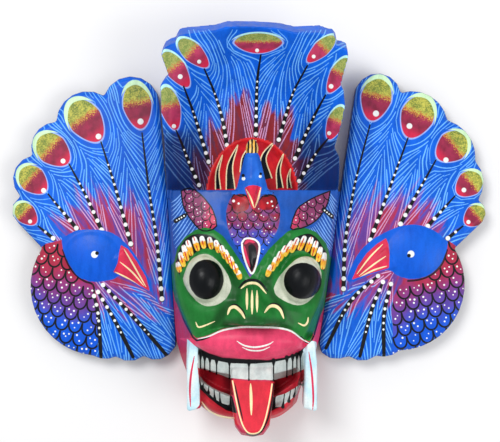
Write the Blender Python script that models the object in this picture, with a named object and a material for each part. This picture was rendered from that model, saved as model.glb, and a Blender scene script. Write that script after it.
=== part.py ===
# A carved wooden demon mask of the peacock kind, lying on its back.
# +Z comes out of the face, +Y runs up to the crest, +X is the viewer's right.
# The head is one carving (face, crest, half dome, small bird) and two wings butt against it.

import bpy
import bmesh
from math import asin, ceil, cos, hypot, pi, radians, sin, sqrt
from mathutils import Matrix, Vector

# Driving dimensions, in metres.
faceHeight = 0.163        # upper edge of the forehead to the chin
faceDepth = 0.072         # back plane to the middle of the face, without the nose
sideGap = 0.0003          # between a wing and the flank that it butts against

# The flanks, as distances from the centre line where the wings butt against them.
flankLeftTop = 0.0620
flankLeftLow = 0.0556
flankRightTop = 0.0646
flankRightLow = 0.0496
flankTopY = 0.0
flankLowY = -0.1056       # from the forehead's edge down
flankHeight = 0.019       # upright part of the flank over the back plane

crestHeight = 0.1138      # forehead's edge to the rim of the fan
crestWidth = 0.131
crestWall = 0.0085        # at the foot, measured back to front
crestRimWall = 0.015      # at the rim, where the bowl leans
crestTopBand = 0.0065     # how far the slanting end face shows over the rim
crestBaseDepth = 0.020    # front of the fan at its foot
crestRimDepth = 0.062     # front of the fan at its rim
crestSideDrop = 0.010     # how much lower the rim is at the fan's sides
crestFoot = 0.006         # how far the fan's foot runs down inside the head
crestArcStep = 0.011      # longest chord on the fan's round edge

domeWidth = 0.066
domeHeight = 0.038
domeDepth = 0.026
domeSink = 0.003          # how far the half dome's middle lies under the forehead's edge
domeSet = 0.002           # and behind the front of the fan's foot

cavityDepth = 0.044
cavityTopWall = 0.014
cavityChinWall = 0.036
cavitySideWall = 0.009

wingThick = 0.018
wingRound = 0.003         # rounding of the wing's edges
leftWingHeight = 0.1946
rightWingHeight = 0.2051
birdRelief = 0.0035       # the bird's head over the board
beakSink = 0.001          # how far the beak's middle line lies under the board's face

eyeWidth = 0.030
eyeHeight = 0.036
eyeBulge = 0.079          # back plane to the top of the eyeball
eyeDepth = 0.019          # half of the eyeball, front to back

tongueWidth = 0.031
tongueLength = 0.0412
tongueThick = 0.010
tongueRootDepth = 0.060
tongueTilt = radians(24)

fangLength = 0.048
fangWidth = 0.0088
fangDepth = 0.058         # back plane to the front of the fang
fangThick = 0.026
fangAcross = 0.0413       # centre line to the middle of a fang
fangTop = 0.1068          # forehead's edge to the root of a fang
toolRound = 0.0012        # rounding of the edges of the fangs and the tongue

smallBirdWidth = 0.0255
smallBirdHeight = 0.024
smallBirdDepth = 0.068
smallBirdThick = 0.026    # its neck, front to back
smallBirdLean = 0.006     # how far its top leans back
smallBirdSink = 0.004     # how far its neck and its beak's root lie in the head
knobWidth = 0.0092
knobHeight = 0.012
beakLength = 0.021
beakWidth = 0.0105

# The carved relief over the plain front of the face.
browRise = 0.0052
socketDrop = 0.0050
noseRise = 0.0165
bridgeRise = 0.003
nostrilRise = 0.0035
breastRise = 0.0050
lipRise = 0.0070
lipDrop = 0.0025
teethDrop = 0.0095
teethLean = 0.002
mouthDrop = 0.026
lowTeethDrop = 0.008
lowLipDrop = 0.0055
chinDrop = 0.007
chinLean = 0.005

columns = 32              # divisions across the face
arcStep = 0.0085          # longest chord on a wing's round edge
mergeGap = 0.00001
sharpAngle = radians(35)  # edges that turn more than this stay sharp


# Smooth curve through the rows (place, value) of a table.
def along(table, place):
    if place <= table[0][0]:
        return table[0][1]
    if place >= table[-1][0]:
        return table[-1][1]
    last = len(table) - 1
    i = max(k for k in range(last) if table[k][0] <= place)

    def slope(k):
        a = table[max(k - 1, 0)]
        b = table[min(k + 1, last)]
        return (b[1] - a[1]) / (b[0] - a[0])

    width = table[i + 1][0] - table[i][0]
    u = (place - table[i][0]) / width
    start = table[i][1] * (1 + 2 * u) * (1 - u) ** 2 + slope(i) * width * u * (1 - u) ** 2
    end = table[i + 1][1] * u * u * (3 - 2 * u) + slope(i + 1) * width * u * u * (u - 1)
    return start + end


def ease(low, high, value):
    u = min(max((value - low) / (high - low), 0.0), 1.0)
    return u * u * (3 - 2 * u)


def mound(x, y, wide, high):
    return max(0.0, 1 - (x / wide) ** 2 - (y / high) ** 2)


# Distance from a point to a chain of points.
def distanceTo(chain, x, y):
    best = 1e9
    for (ax, ay), (bx, by) in zip(chain, chain[1:]):
        dx, dy = bx - ax, by - ay
        u = min(max(((x - ax) * dx + (y - ay) * dy) / (dx * dx + dy * dy), 0.0), 1.0)
        best = min(best, hypot(x - ax - u * dx, y - ay - u * dy))
    return best


# The face's own frame: across is x over faceHeight, down runs from 0 at the forehead's edge to 1 at the chin.
flankShare = [(0.0, 1.0), (0.62, 1.0), (0.70, 0.975), (0.80, 0.89), (0.88, 0.80), (1.0, 0.74)]
frontShare = [(0.0, 0.915), (0.1, 0.93), (0.42, 0.93), (0.5, 0.885), (0.6, 0.775), (0.65, 0.735),
              (0.72, 0.75), (0.8, 0.82), (0.88, 0.88), (1.0, 0.90)]
shoulderShare = [(0.0, 0.66), (0.1, 0.69), (0.42, 0.70), (0.55, 0.77), (0.65, 0.79), (0.75, 0.74),
                 (0.85, 0.66), (0.92, 0.56), (1.0, 0.46)]
middleShare = [(0.0, 0.86), (0.1, 0.90), (0.3, 0.96), (0.5, 1.0), (0.62, 0.985), (0.72, 0.95),
               (0.82, 0.87), (0.9, 0.78), (0.96, 0.68), (1.0, 0.58)]
browPath = [(0.318, 0.33), (0.300, 0.262), (0.258, 0.212), (0.207, 0.190), (0.160, 0.199),
            (0.118, 0.243), (0.075, 0.305), (0.030, 0.362), (0.0, 0.392)]
eyeAcross = 0.201
eyeDown = 0.379
noseTop = 0.375
noseEnd = 0.560


# Where the carved bands of the mouth run across the face: side is -1 to 1.
def greenEdge(side):
    return 0.566 + 0.070 * abs(side) ** 3


def lipEnd(side):
    return 0.720 - 0.042 * side * side


def teethEnd(side):
    return 0.801 - 0.038 * side * side


def lowTeethStart(side):
    return 0.906 - 0.094 * side * side


def lowTeethEnd(side):
    return 0.965 - 0.102 * side * side


def lowLipEnd(side):
    return chinEnd(side) - 0.008


def chinEnd(side):
    return 1.010 - 0.070 * abs(side) ** 5


# A flank's distance from the centre line, at a height below the forehead's edge.
def flank(side, y):
    top, low = (flankRightTop, flankRightLow) if side > 0 else (flankLeftTop, flankLeftLow)
    u = (y - flankTopY) / (flankLowY - flankTopY)
    return top + (low - top) * u


def halfBack(side, down):
    return flank(side, -down * faceHeight) * along(flankShare, down)


def halfFront(side, down):
    return halfBack(side, down) * along(frontShare, down)


# Brows, sockets, nose and the bird's breast, over the plain front of the block.
def upperRelief(across, down):
    wide = abs(across)
    brow = browRise * ease(0.052, 0.016, distanceTo(browPath, wide, down))
    socket = -socketDrop * ease(1.0, 0.35, hypot((wide - eyeAcross) / 0.118, (down - eyeDown - 0.01) / 0.135))
    u = (down - noseTop) / (noseEnd - noseTop)
    nose = 0.0
    if 0 < u:
        half = 0.016 + 0.112 * min(u, 1.0) ** 1.3
        rise = bridgeRise + (noseRise - bridgeRise) * min(u, 1.0)
        nose = rise * ease(half, half * 0.25, wide) * ease(0.0, 0.12, u)
    nostril = nostrilRise * sqrt(mound(wide - 0.088, down - 0.527, 0.048, 0.040))
    breast = breastRise * sqrt(mound(across, down - 0.095, 0.115, 0.105))
    return brow + socket + nose + nostril + breast


def frontPoint(side, down, relief):
    x = side * halfFront(side, down)
    shoulder = along(shoulderShare, down) * faceDepth
    middle = along(middleShare, down) * faceDepth
    z = shoulder + (middle - shoulder) * (1 - abs(side) ** 2.6) ** 0.55
    return Vector((x, -down * faceHeight, z + relief))


# One row of points across the front for each step down the face, with the relief at that row.
def faceRows():
    rows = []
    upper = [0, .02, .05, .08, .115, .15, .18, .205, .23, .26, .29, .32, .35, .38, .41, .44, .47,
             .50, .53, .55, .565]

    def add(place, lift):
        rows.append((place, lift))

    for down in upper:
        share = down / 0.566
        add(lambda side, share=share: share * greenEdge(side),
            lambda side, down, wide: upperRelief(wide, down))
    # Each band: where it starts and ends, the step between it and the band above as a share of
    # faceHeight, its rows, and its relief from top to bottom.
    bands = [
        (greenEdge, lipEnd, 0.006, 7, lambda u: lipRise * sin(pi * min(u * 1.05, 1)) ** 0.8 - lipDrop),
        (lipEnd, teethEnd, 0.004, 2, lambda u: -teethDrop - teethLean * u),
        (teethEnd, lowTeethStart, 0.006, 2, lambda u: -mouthDrop),
        (lowTeethStart, lowTeethEnd, 0.006, 1, lambda u: -lowTeethDrop),
        (lowTeethEnd, lowLipEnd, 0.004, 3, lambda u: lowLipDrop * (sin(pi * u) ** 0.7 - 1)),
        (lowLipEnd, chinEnd, 0.002, 1, lambda u: -chinDrop - chinLean * u),
    ]
    for start, end, step, steps, profile in bands:
        for i in range(steps + 1):
            u = i / steps

            def place(side, start=start, end=end, step=step, u=u):
                return start(side) + step + (end(side) - start(side) - step) * u

            add(place, lambda side, down, wide, u=u, profile=profile: profile(u))
    return rows


def faceBody():
    rows = faceRows()
    mesh = bmesh.new()
    grid = []
    for place, lift in rows:
        line = []
        for k in range(columns + 1):
            side = sin(pi / 2 * (2 * k / columns - 1))
            down = place(side)
            plain = frontPoint(side, down, 0)
            relief = lift(side, down, plain.x / faceHeight) * ease(1.0, 0.9, abs(side))
            line.append(mesh.verts.new(frontPoint(side, down, relief)))
        grid.append(line)
    for upper, lower in zip(grid, grid[1:]):
        for k in range(columns):
            mesh.faces.new((upper[k], lower[k], lower[k + 1], upper[k + 1]))
    last = len(grid) - 1
    ring = [(0, k) for k in range(columns)] + [(j, columns) for j in range(last)]
    ring += [(last, k) for k in range(columns, 0, -1)] + [(j, 0) for j in range(last, 0, -1)]

    # The same outline on the upright flank and on the back plane.
    def wallPoint(j, k, z):
        side = sin(pi / 2 * (2 * k / columns - 1))
        down = rows[j][0](side)
        return mesh.verts.new((side * halfBack(side, down), -down * faceHeight, z))

    loops = [[grid[j][k] for j, k in ring]]
    for z in (flankHeight, 0.0):
        loops.append([wallPoint(j, k, z) for j, k in ring])
    for front, back in zip(loops, loops[1:]):
        for i in range(len(ring)):
            n = (i + 1) % len(ring)
            mesh.faces.new((front[i], front[n], back[n], back[i]))
    mesh.faces.new(loops[-1])
    bmesh.ops.recalc_face_normals(mesh, faces=mesh.faces)
    return mesh


# The fan's outline from its right foot over the top to its left foot: share of the half width,
# share of the height, and the rise of the arc to the next point.
crestOutline = [(0.925, -0.05, 0.0), (0.94, 0.15, 0.012), (0.887, 0.262, 0.0), (0.96, 0.42, 0.012),
                (0.97, 0.60, 0.0), (0.937, 0.637, 0.0), (1.008, 0.795, 0.02), (0.926, 0.856, 0.0),
                (0.877, 0.862, 0.0), (0.886, 0.894, 0.01), (0.80, 0.925, 0.008), (0.624, 0.949, 0.0),
                (0.446, 0.957, 0.0), (0.302, 0.982, 0.01), (-0.273, 0.992, 0.0), (-0.395, 0.969, 0.0),
                (-0.71, 0.935, 0.012), (-0.80, 0.898, 0.0), (-0.807, 0.88, 0.0), (-0.85, 0.875, 0.012),
                (-0.955, 0.81, 0.0), (-0.882, 0.69, 0.0), (-0.93, 0.665, 0.014), (-0.967, 0.585, 0.006),
                (-0.939, 0.308, 0.0), (-0.92, -0.05, 0.0)]


# Points along straight and round stretches: rise is the height of the arc over its chord.
def tracedOutline(points, step, closed=True):
    traced = []
    count = len(points)
    for i in range(count if closed else count - 1):
        ax, ay, rise = points[i]
        bx, by = points[(i + 1) % count][:2]
        chord = hypot(bx - ax, by - ay)
        if abs(rise) < chord * 0.01:
            traced.append((ax, ay))
            continue
        radius = (chord * chord / 4 + rise * rise) / (2 * rise)
        mx, my = (ax + bx) / 2, (ay + by) / 2
        ox, oy = (by - ay) / chord, (ax - bx) / chord
        cx, cy = mx - ox * (radius - rise), my - oy * (radius - rise)
        half = asin(min(1.0, chord / (2 * radius)))
        if rise > radius:
            half = pi - half
        steps = max(2, ceil(2 * half * radius / step))
        for j in range(steps):
            angle = half * (2 * j / steps - 1)
            rx = ox * cos(angle) - oy * sin(angle)
            ry = oy * cos(angle) + ox * sin(angle)
            traced.append((cx + radius * rx, cy + radius * ry))
    if not closed:
        traced.append(points[-1][:2])
    return traced


# The front of the fan as a bowl: deep at its foot and leaning forward to the rim.
def crestShell():
    half = crestWidth / 2
    points = [(x * half, y * crestHeight + flankTopY, r * crestHeight) for x, y, r in crestOutline]
    points[0] = (points[0][0], flankTopY - crestFoot, 0.0)
    points[-1] = (points[-1][0], flankTopY - crestFoot, 0.0)
    rim = tracedOutline(points, crestArcStep, closed=False)
    foot = (0.0, flankTopY - crestFoot)
    shares = [0.34, 0.56, 0.72, 0.84, 0.93, 1.0]
    mesh = bmesh.new()
    # An even bowl, whatever the lobes do at its rim: a point on its front and the one behind it.
    def bowlPoints(x, y, even):
        height = max(0.0, (y - foot[1]) / crestHeight)
        depth = crestRimDepth - crestSideDrop * (1 - height)
        lean = min(even, 1.0) ** 3.2 + max(even - 1.0, 0.0) * 1.2
        z = crestBaseDepth + (depth - crestBaseDepth) * lean
        wall = crestWall + (crestRimWall - crestWall) * min(even, 1.0) ** 2
        band = crestTopBand * min(height, 1.0) ** 2 * lean
        return mesh.verts.new((x, y, z)), mesh.verts.new((x, y + band, z - wall))

    middle = bowlPoints(*foot, 0.0)
    rays = []
    for x, y in rim:
        out, up = x - foot[0], y - foot[1]
        even = hypot(out / (half * 0.95), up / (crestHeight + crestFoot))
        ray = []
        for share in shares:
            # The inner rings are even, and the outermost one takes the lobes.
            reach = share * (1 + (even - 1) * share ** 6)
            ray.append(bowlPoints(foot[0] + out * reach / even, foot[1] + up * reach / even, reach))
        rays.append(ray)
    for front in (0, 1):
        for a, b in zip(rays, rays[1:]):
            mesh.faces.new((middle[front], a[0][front], b[0][front]))
            for i in range(len(a) - 1):
                mesh.faces.new((a[i][front], a[i + 1][front], b[i + 1][front], b[i][front]))
    edge = [p for p in rays[0][:-1]] + [ray[-1] for ray in rays] + [p for p in rays[-1][-2::-1]] + [middle]
    for i in range(len(edge)):
        a, b = edge[i], edge[(i + 1) % len(edge)]
        mesh.faces.new((a[0], b[0], b[1], a[1]))
    bmesh.ops.recalc_face_normals(mesh, faces=mesh.faces)
    return mesh


# A wing's outline in shares of its height: distance out from its lower corner on the flank,
# height over its lower edge, and the rise of the arc to the next point. The inner edge is two
# heights on the flank.
leftWing = [(0.062, 0.953, 0.090), (0.272, 0.987, 0.059), (0.452, 0.889, 0.039), (0.542, 0.762, 0.049),
            (0.587, 0.608, 0.030), (0.591, 0.503, 0.0), (0.505, 0.413, 0.127), (0.313, 0.008, 0.011),
            (0.227, 0.004, 0.018), (0.122, 0.006, 0.016), (0.028, 0.010, 0.014)]
leftInner = [0.084, 0.594]
rightWing = [(0.124, 0.934, 0.078), (0.290, 0.950, 0.044), (0.457, 0.852, 0.032), (0.557, 0.706, 0.024),
             (0.567, 0.567, 0.019), (0.582, 0.489, 0.0), (0.482, 0.394, 0.121), (0.286, 0.029, 0.011),
             (0.201, 0.010, 0.017), (0.105, 0.008, 0.005), (0.037, 0.002, 0.014)]
rightInner = [0.058, 0.602]
leftWingLowY = -0.1218    # lower edge of the wing, from the forehead's edge down
rightWingLowY = -0.1225


def wingPoints(side, shares, inner, height, lowY):
    corner = flank(side, flankLowY)
    points = [(side * (corner + out * height), lowY + up * height, rise * height)
              for out, up, rise in shares]
    for up in inner:
        y = lowY + up * height
        points.append((side * (flank(side, y) + sideGap), y, 0.0))
    if side > 0:
        points = [(p[0], p[1], q[2]) for p, q in zip(points[::-1], points[::-1][1:] + points[-1:])]
    return points


# The bird's head and beak on a wing, in the same shares: centre, half length, half width, tilt,
# then the beak's root and tip.
leftBird = dict(head=(0.313, 0.380), half=(0.1125, 0.099), tilt=radians(-12), root=(0.225, 0.378),
                tip=(0.096, 0.252), width=0.101)
rightBird = dict(head=(0.342, 0.382), half=(0.107, 0.096), tilt=radians(6), root=(0.255, 0.362),
                 tip=(0.1175, 0.286), width=0.103)


def newObject(name, mesh, group):
    data = bpy.data.meshes.new(name)
    mesh.to_mesh(data)
    mesh.free()
    data.shade_smooth()
    data.set_sharp_from_angle(angle=sharpAngle)
    made = bpy.data.objects.new(name, data)
    group.objects.link(made)
    return made


def asTool(made):
    made.hide_render = True
    made.display_type = "WIRE"
    return made


# A flat outline with thickness, made a closed mesh from a 2D curve.
def board(name, outline, low, high, rounding, group):
    curve = bpy.data.curves.new(name + "_outline", "CURVE")
    curve.dimensions = "2D"
    curve.fill_mode = "BOTH"
    curve.extrude = (high - low) / 2 - rounding
    curve.bevel_depth = rounding
    curve.offset = -rounding
    curve.bevel_resolution = 0
    spline = curve.splines.new("POLY")
    spline.points.add(len(outline) - 1)
    for point, (x, y) in zip(spline.points, outline):
        point.co = (x, y, 0.0, 1.0)
    spline.use_cyclic_u = True
    holder = bpy.data.objects.new(name + "_outline", curve)
    holder.location.z = (low + high) / 2
    group.objects.link(holder)
    bpy.context.view_layer.update()
    graph = bpy.context.evaluated_depsgraph_get()
    data = bpy.data.meshes.new_from_object(holder.evaluated_get(graph))
    data.name = name
    mesh = bmesh.new()
    mesh.from_mesh(data)
    bmesh.ops.remove_doubles(mesh, verts=mesh.verts, dist=mergeGap)
    bmesh.ops.recalc_face_normals(mesh, faces=mesh.faces)
    mesh.to_mesh(data)
    mesh.free()
    data.shade_smooth()
    data.set_sharp_from_angle(angle=sharpAngle)
    made = bpy.data.objects.new(name, data)
    made.matrix_world = holder.matrix_world
    group.objects.link(made)
    bpy.data.objects.remove(holder)
    return made


def ball(name, centre, size, tilt, group, across=20, rings=12, floor=None):
    mesh = bmesh.new()
    matrix = Matrix.Translation(centre) @ Matrix.Rotation(tilt, 4, "Z") @ Matrix.Diagonal((*size, 1))
    bmesh.ops.create_uvsphere(mesh, u_segments=across, v_segments=rings, radius=1, matrix=matrix)
    if floor is not None:
        everything = mesh.verts[:] + mesh.edges[:] + mesh.faces[:]
        cut = bmesh.ops.bisect_plane(mesh, geom=everything, plane_co=(0, 0, floor), plane_no=(0, 0, 1),
                                     clear_inner=True)
        edges = [e for e in cut["geom_cut"] if isinstance(e, bmesh.types.BMEdge)]
        bmesh.ops.holes_fill(mesh, edges=edges, sides=0)
        bmesh.ops.recalc_face_normals(mesh, faces=mesh.faces)
    return asTool(newObject(name, mesh, group))


def spike(name, root, tip, width, deep, group, sides=8, blunt=0.12):
    mesh = bmesh.new()
    line = Vector(tip) - Vector(root)
    turn = line.to_track_quat("Z", "Y").to_matrix().to_4x4()
    matrix = Matrix.Translation(Vector(root) + line / 2) @ turn @ Matrix.Diagonal((width, deep, 1, 1))
    bmesh.ops.create_cone(mesh, cap_ends=True, segments=sides, radius1=0.5, radius2=0.5 * blunt,
                          depth=line.length, matrix=matrix)
    return asTool(newObject(name, mesh, group))


# The exact solver loses the head's block at the half dome, so the head is joined with Manifold.
def join(target, tool, operation="UNION", solver="EXACT"):
    step = target.modifiers.new(tool.name, "BOOLEAN")
    step.operation = operation
    step.object = tool
    step.solver = solver


def paint(made, name, colour, rough):
    material = bpy.data.materials.new(name)
    material.use_nodes = True
    shader = material.node_tree.nodes["Principled BSDF"]
    shader.inputs["Base Color"].default_value = (*colour, 1)
    shader.inputs["Roughness"].default_value = rough
    shader.inputs["Metallic"].default_value = 0
    made.data.materials.clear()
    made.data.materials.append(material)


def onFace(across, down, z):
    return Vector((across * faceHeight, -down * faceHeight, z))


def makeHead(group, tools):
    head = newObject("mask_head", faceBody(), group)
    shell = newObject("crest_fan", crestShell(), tools)
    join(head, asTool(shell), solver="MANIFOLD")
    dome = ball("half_dome", (0, flankTopY - domeSink, crestBaseDepth - domeSet),
                (domeWidth / 2, domeHeight + domeSink, domeDepth), 0, tools, 24, 12,
                floor=crestBaseDepth - crestWall / 2)
    join(head, dome, solver="MANIFOLD")

    # The small bird: a head that narrows upward, a striped knob and a hanging beak.
    low = flankTopY - smallBirdSink
    top = flankTopY + smallBirdHeight
    front = smallBirdDepth
    middle = front - smallBirdLean
    neck = spike("small_bird", (0, low, middle - smallBirdLean), (0, top, middle), smallBirdWidth,
                 smallBirdThick, tools, 10, 0.42)
    join(head, neck, solver="MANIFOLD")
    knob = ball("bird_knob", (0, top + knobHeight * 0.36, middle),
                (knobWidth / 2, knobHeight * 0.62, knobWidth / 2), 0, tools, 12, 8)
    join(head, knob, solver="MANIFOLD")
    root = Vector((0, flankTopY + beakLength * 0.24, front - smallBirdSink * 0.75))
    beak = spike("bird_beak", root, root + Vector((0, -0.76, 0.65)) * beakLength, beakWidth,
                 beakWidth * 0.8, tools, 8, 0.16)
    join(head, beak, solver="MANIFOLD")

    for side in (-1, 1):
        centre = onFace(side * eyeAcross, eyeDown, eyeBulge - eyeDepth)
        eye = ball("eyeball", centre, (eyeWidth / 2, eyeHeight / 2, eyeDepth), side * radians(-12),
                   tools, 20, 12)
        join(head, eye, solver="MANIFOLD")
        half = fangWidth / 2
        # Shares of the fang's half width outward and of its length downward.
        shares = [(-0.7, -0.04), (-1, 0.25), (-1, 0.55), (-1.25, 0.95), (0.6, 1), (1, 0.97), (1, 0.33),
                  (0.5, -0.125)]
        shape = [(side * (fangAcross + half * out), flankTopY - fangTop - fangLength * down)
                 for out, down in shares]
        fang = board("fang", shape, fangDepth - fangThick, fangDepth, toolRound, tools)
        join(head, asTool(fang), solver="MANIFOLD")

    # The tongue's outline along +Y from its root, then tilted forward out of the mouth.
    half = tongueWidth / 2
    edge = [(0.92, -0.15), (1, 0.15), (0.9, 0.5), (0.78, 0.82), (0.5, 0.965)]
    shape = [(-half * out, -tongueLength * down) for out, down in edge] + [(0, -tongueLength)]
    shape += [(half * out, -tongueLength * down) for out, down in edge[::-1]]
    tongue = board("tongue", shape, -tongueThick, 0.0, toolRound, tools)
    place = Matrix.Translation(onFace(0, 0.795, tongueRootDepth))
    tongue.matrix_world = place @ Matrix.Rotation(-tongueTilt, 4, "X") @ tongue.matrix_world
    join(head, asTool(tongue), solver="MANIFOLD")

    high, lowest = -cavityTopWall, -faceHeight + cavityChinWall
    half = min(flankLeftLow, flankRightLow, flankLeftTop, flankRightTop) - cavitySideWall
    hollow = ball("cavity", (0, (high + lowest) / 2, 0), (half, (high - lowest) / 2, cavityDepth), 0,
                  tools, 28, 14)
    join(head, hollow, "DIFFERENCE", "MANIFOLD")
    return head


def makeWing(name, side, shares, inner, height, lowY, bird, group, tools):
    outline = tracedOutline(wingPoints(side, shares, inner, height, lowY), arcStep)
    wing = board(name, outline, 0.0, wingThick, wingRound, group)
    corner = flank(side, flankLowY)

    def place(out, up, z):
        return Vector((side * (corner + out * height), lowY + up * height, z))

    # The ball's middle lies one relief under the board's face, which cuts it at the head's outline.
    spread = height / sqrt(0.75)
    radius = Vector((bird["half"][0] * spread, bird["half"][1] * spread, 2 * birdRelief))
    head = ball(name + "_bird", place(*bird["head"], wingThick - birdRelief), radius, bird["tilt"],
                tools, 24, 12)
    join(wing, head)
    root = place(*bird["root"], wingThick - beakSink)
    tip = place(*bird["tip"], wingThick - beakSink)
    beak = spike(name + "_beak", root, tip, bird["width"] * height, 2 * birdRelief, tools, 8, 0.15)
    join(wing, beak)
    return wing


# How far the nodes move to stand on the middle of their box's underside.
def boxShift(nodes):
    bpy.context.view_layer.update()
    graph = bpy.context.evaluated_depsgraph_get()
    corners = []
    for made in nodes:
        shown = made.evaluated_get(graph)
        corners += [made.matrix_world @ v.co for v in shown.data.vertices]
    return Vector((-(min(c.x for c in corners) + max(c.x for c in corners)) / 2,
                   -(min(c.y for c in corners) + max(c.y for c in corners)) / 2,
                   -min(c.z for c in corners)))


def main():
    for made in list(bpy.data.objects):
        bpy.data.objects.remove(made)
    group = bpy.data.collections.new("devil_mask")
    tools = bpy.data.collections.new("shaping_tools")
    bpy.context.scene.collection.children.link(group)
    bpy.context.scene.collection.children.link(tools)
    head = makeHead(group, tools)
    left = makeWing("left_wing", -1, leftWing, leftInner, leftWingHeight, leftWingLowY, leftBird, group, tools)
    right = makeWing("right_wing", 1, rightWing, rightInner, rightWingHeight, rightWingLowY, rightBird,
                     group, tools)
    paint(head, "painted_face", (0.02, 0.13, 0.04), 0.35)
    paint(left, "painted_left_wing", (0.01, 0.12, 0.62), 0.4)
    paint(right, "painted_right_wing", (0.01, 0.12, 0.62), 0.4)
    shift = boxShift([head, left, right])
    for made in list(group.objects) + list(tools.objects):
        made.location += shift
    tools.hide_render = True


main()
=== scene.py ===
from math import cos, pi, radians, sin

import bpy
import numpy as np
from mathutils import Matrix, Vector
from mathutils.kdtree import KDTree


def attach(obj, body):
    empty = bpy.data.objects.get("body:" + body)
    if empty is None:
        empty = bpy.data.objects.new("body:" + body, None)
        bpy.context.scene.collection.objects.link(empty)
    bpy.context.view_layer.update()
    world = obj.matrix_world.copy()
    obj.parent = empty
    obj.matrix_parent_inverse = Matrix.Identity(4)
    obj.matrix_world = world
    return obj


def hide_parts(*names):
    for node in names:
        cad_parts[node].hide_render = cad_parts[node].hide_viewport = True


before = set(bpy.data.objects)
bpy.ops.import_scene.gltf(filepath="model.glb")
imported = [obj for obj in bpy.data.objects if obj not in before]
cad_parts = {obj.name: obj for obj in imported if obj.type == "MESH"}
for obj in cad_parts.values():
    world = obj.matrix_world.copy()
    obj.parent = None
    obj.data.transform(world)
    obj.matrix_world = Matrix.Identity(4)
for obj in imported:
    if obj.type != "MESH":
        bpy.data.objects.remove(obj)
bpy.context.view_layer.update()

# The painting is drawn in sketch units on the front view: x to the right, y down.
# One unit is 0.73 mm on the faces of the wing boards and a little less on what stands higher.
sketch = dict(
    unit=0.00073,
    unitHeight=0.018,
    eyeHeight=0.95,
    middle=(252.0, 221.0),
    place=(0.00206, 0.0038),
)


def toSketch(points):
    unit = sketch["unit"] * (sketch["eyeHeight"] - points[:, 2])
    unit /= sketch["eyeHeight"] - sketch["unitHeight"]
    x = sketch["middle"][0] + (points[:, 0] - sketch["place"][0]) / unit
    y = sketch["middle"][1] - (points[:, 1] - sketch["place"][1]) / unit
    return np.stack([x, y], 1)


# A screen colour, 0 to 255, in the shaders' linear values.
def linear(r, g, b):
    shares = (r / 255, g / 255, b / 255)
    return tuple(c / 12.92 if c < 0.0405 else ((c + 0.055) / 1.055) ** 2.4 for c in shares) + (1.0,)


paints = dict(
    nightBlue=linear(8, 24, 58),
    paleBlue=linear(112, 186, 255),
    crimson=linear(170, 46, 80),
    purple=linear(104, 62, 150),
    pinkLine=linear(214, 160, 204),
    cream=linear(252, 232, 180),
    white=linear(240, 244, 240),
    black=linear(12, 16, 20),
    eyeBlack=linear(3, 6, 11),
    olive=linear(108, 128, 58),
    yellow=linear(196, 192, 84),
    orange=linear(206, 128, 60),
    rimCream=linear(206, 242, 196),
    eyeFoot=linear(208, 40, 76),
    wingEye=linear(156, 44, 76),
    wingScaleRed=linear(170, 42, 70),
    wingScaleBlue=linear(8, 86, 212),
    fanEye=linear(184, 58, 96),
    fanFadeRed=linear(134, 32, 38),
    fanFadePurple=linear(104, 44, 70),
    fanOlive=linear(116, 140, 70),
    fanYellow=linear(172, 176, 98),
    fanCrescent=linear(184, 238, 232),
    # The barbs' colour inside the fan's painted shade.
    fanShadedLine=linear(66, 92, 140),
    # The deeper blue of the fan's painted shade on its steep sides and top edge.
    fanSideShade=linear(0, 70, 186),
    foreheadLine=linear(120, 168, 236),
    breastBlue=linear(24, 88, 206),
    leafPink=linear(204, 60, 96),
    greenShadow=linear(12, 58, 20),
    lashGold=linear(244, 176, 44),
    lashPale=linear(246, 206, 76),
    lashRed=linear(206, 54, 44),
    # Painted shade deep in the mouth's opening.
    mouthShadow=linear(70, 12, 18),
    chinGreen=linear(46, 160, 84),
    rosePink=linear(210, 50, 88),
    woodLight=linear(150, 112, 74),
    woodDark=linear(112, 78, 48),
    woodGrain=linear(84, 56, 34),
    floorLight=linear(240, 240, 240),
    floorDark=linear(236, 236, 237),
)

# Paints that drift between two colours: how fine the clouds are, then the two colours.
clouds = dict(
    featherBlue=(45, linear(0, 98, 220), linear(0, 88, 202)),
    wingBird=(40, linear(6, 94, 212), linear(2, 86, 208)),
    wingBeak=(120, linear(222, 50, 84), linear(206, 44, 74)),
    smallBird=(90, linear(34, 108, 214), linear(24, 90, 196)),
    smallBeak=(120, linear(226, 44, 78), linear(206, 40, 66)),
    knobYellow=(300, linear(232, 170, 60), linear(246, 214, 140)),
    domeRed=(80, linear(216, 34, 38), linear(192, 26, 34)),
    sidePink=(70, linear(184, 48, 80), linear(190, 46, 80)),
    foreheadBlue=(60, linear(22, 84, 178), linear(32, 78, 160)),
    breastRed=(180, linear(142, 36, 62), linear(128, 72, 128)),
    lobeRed=(150, linear(182, 30, 42), linear(124, 24, 36)),
    leafPurple=(110, linear(124, 52, 92), linear(140, 64, 108)),
    faceGreen=(60, linear(24, 104, 40), linear(30, 122, 50)),
    eyeRim=(120, linear(206, 210, 192), linear(184, 192, 172)),
    upperLip=(60, linear(232, 72, 112), linear(216, 62, 100)),
    mouth=(120, linear(196, 34, 50), linear(170, 28, 44)),
    tooth=(160, linear(206, 216, 212), linear(190, 204, 202)),
    lowLip=(120, linear(208, 44, 60), linear(184, 36, 50)),
    fang=(90, linear(186, 226, 240), linear(226, 240, 242)),
    tongue=(90, linear(218, 40, 60), linear(206, 40, 58)),
)


def deselectAll():
    for made in bpy.context.selected_objects:
        made.select_set(False)


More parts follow.
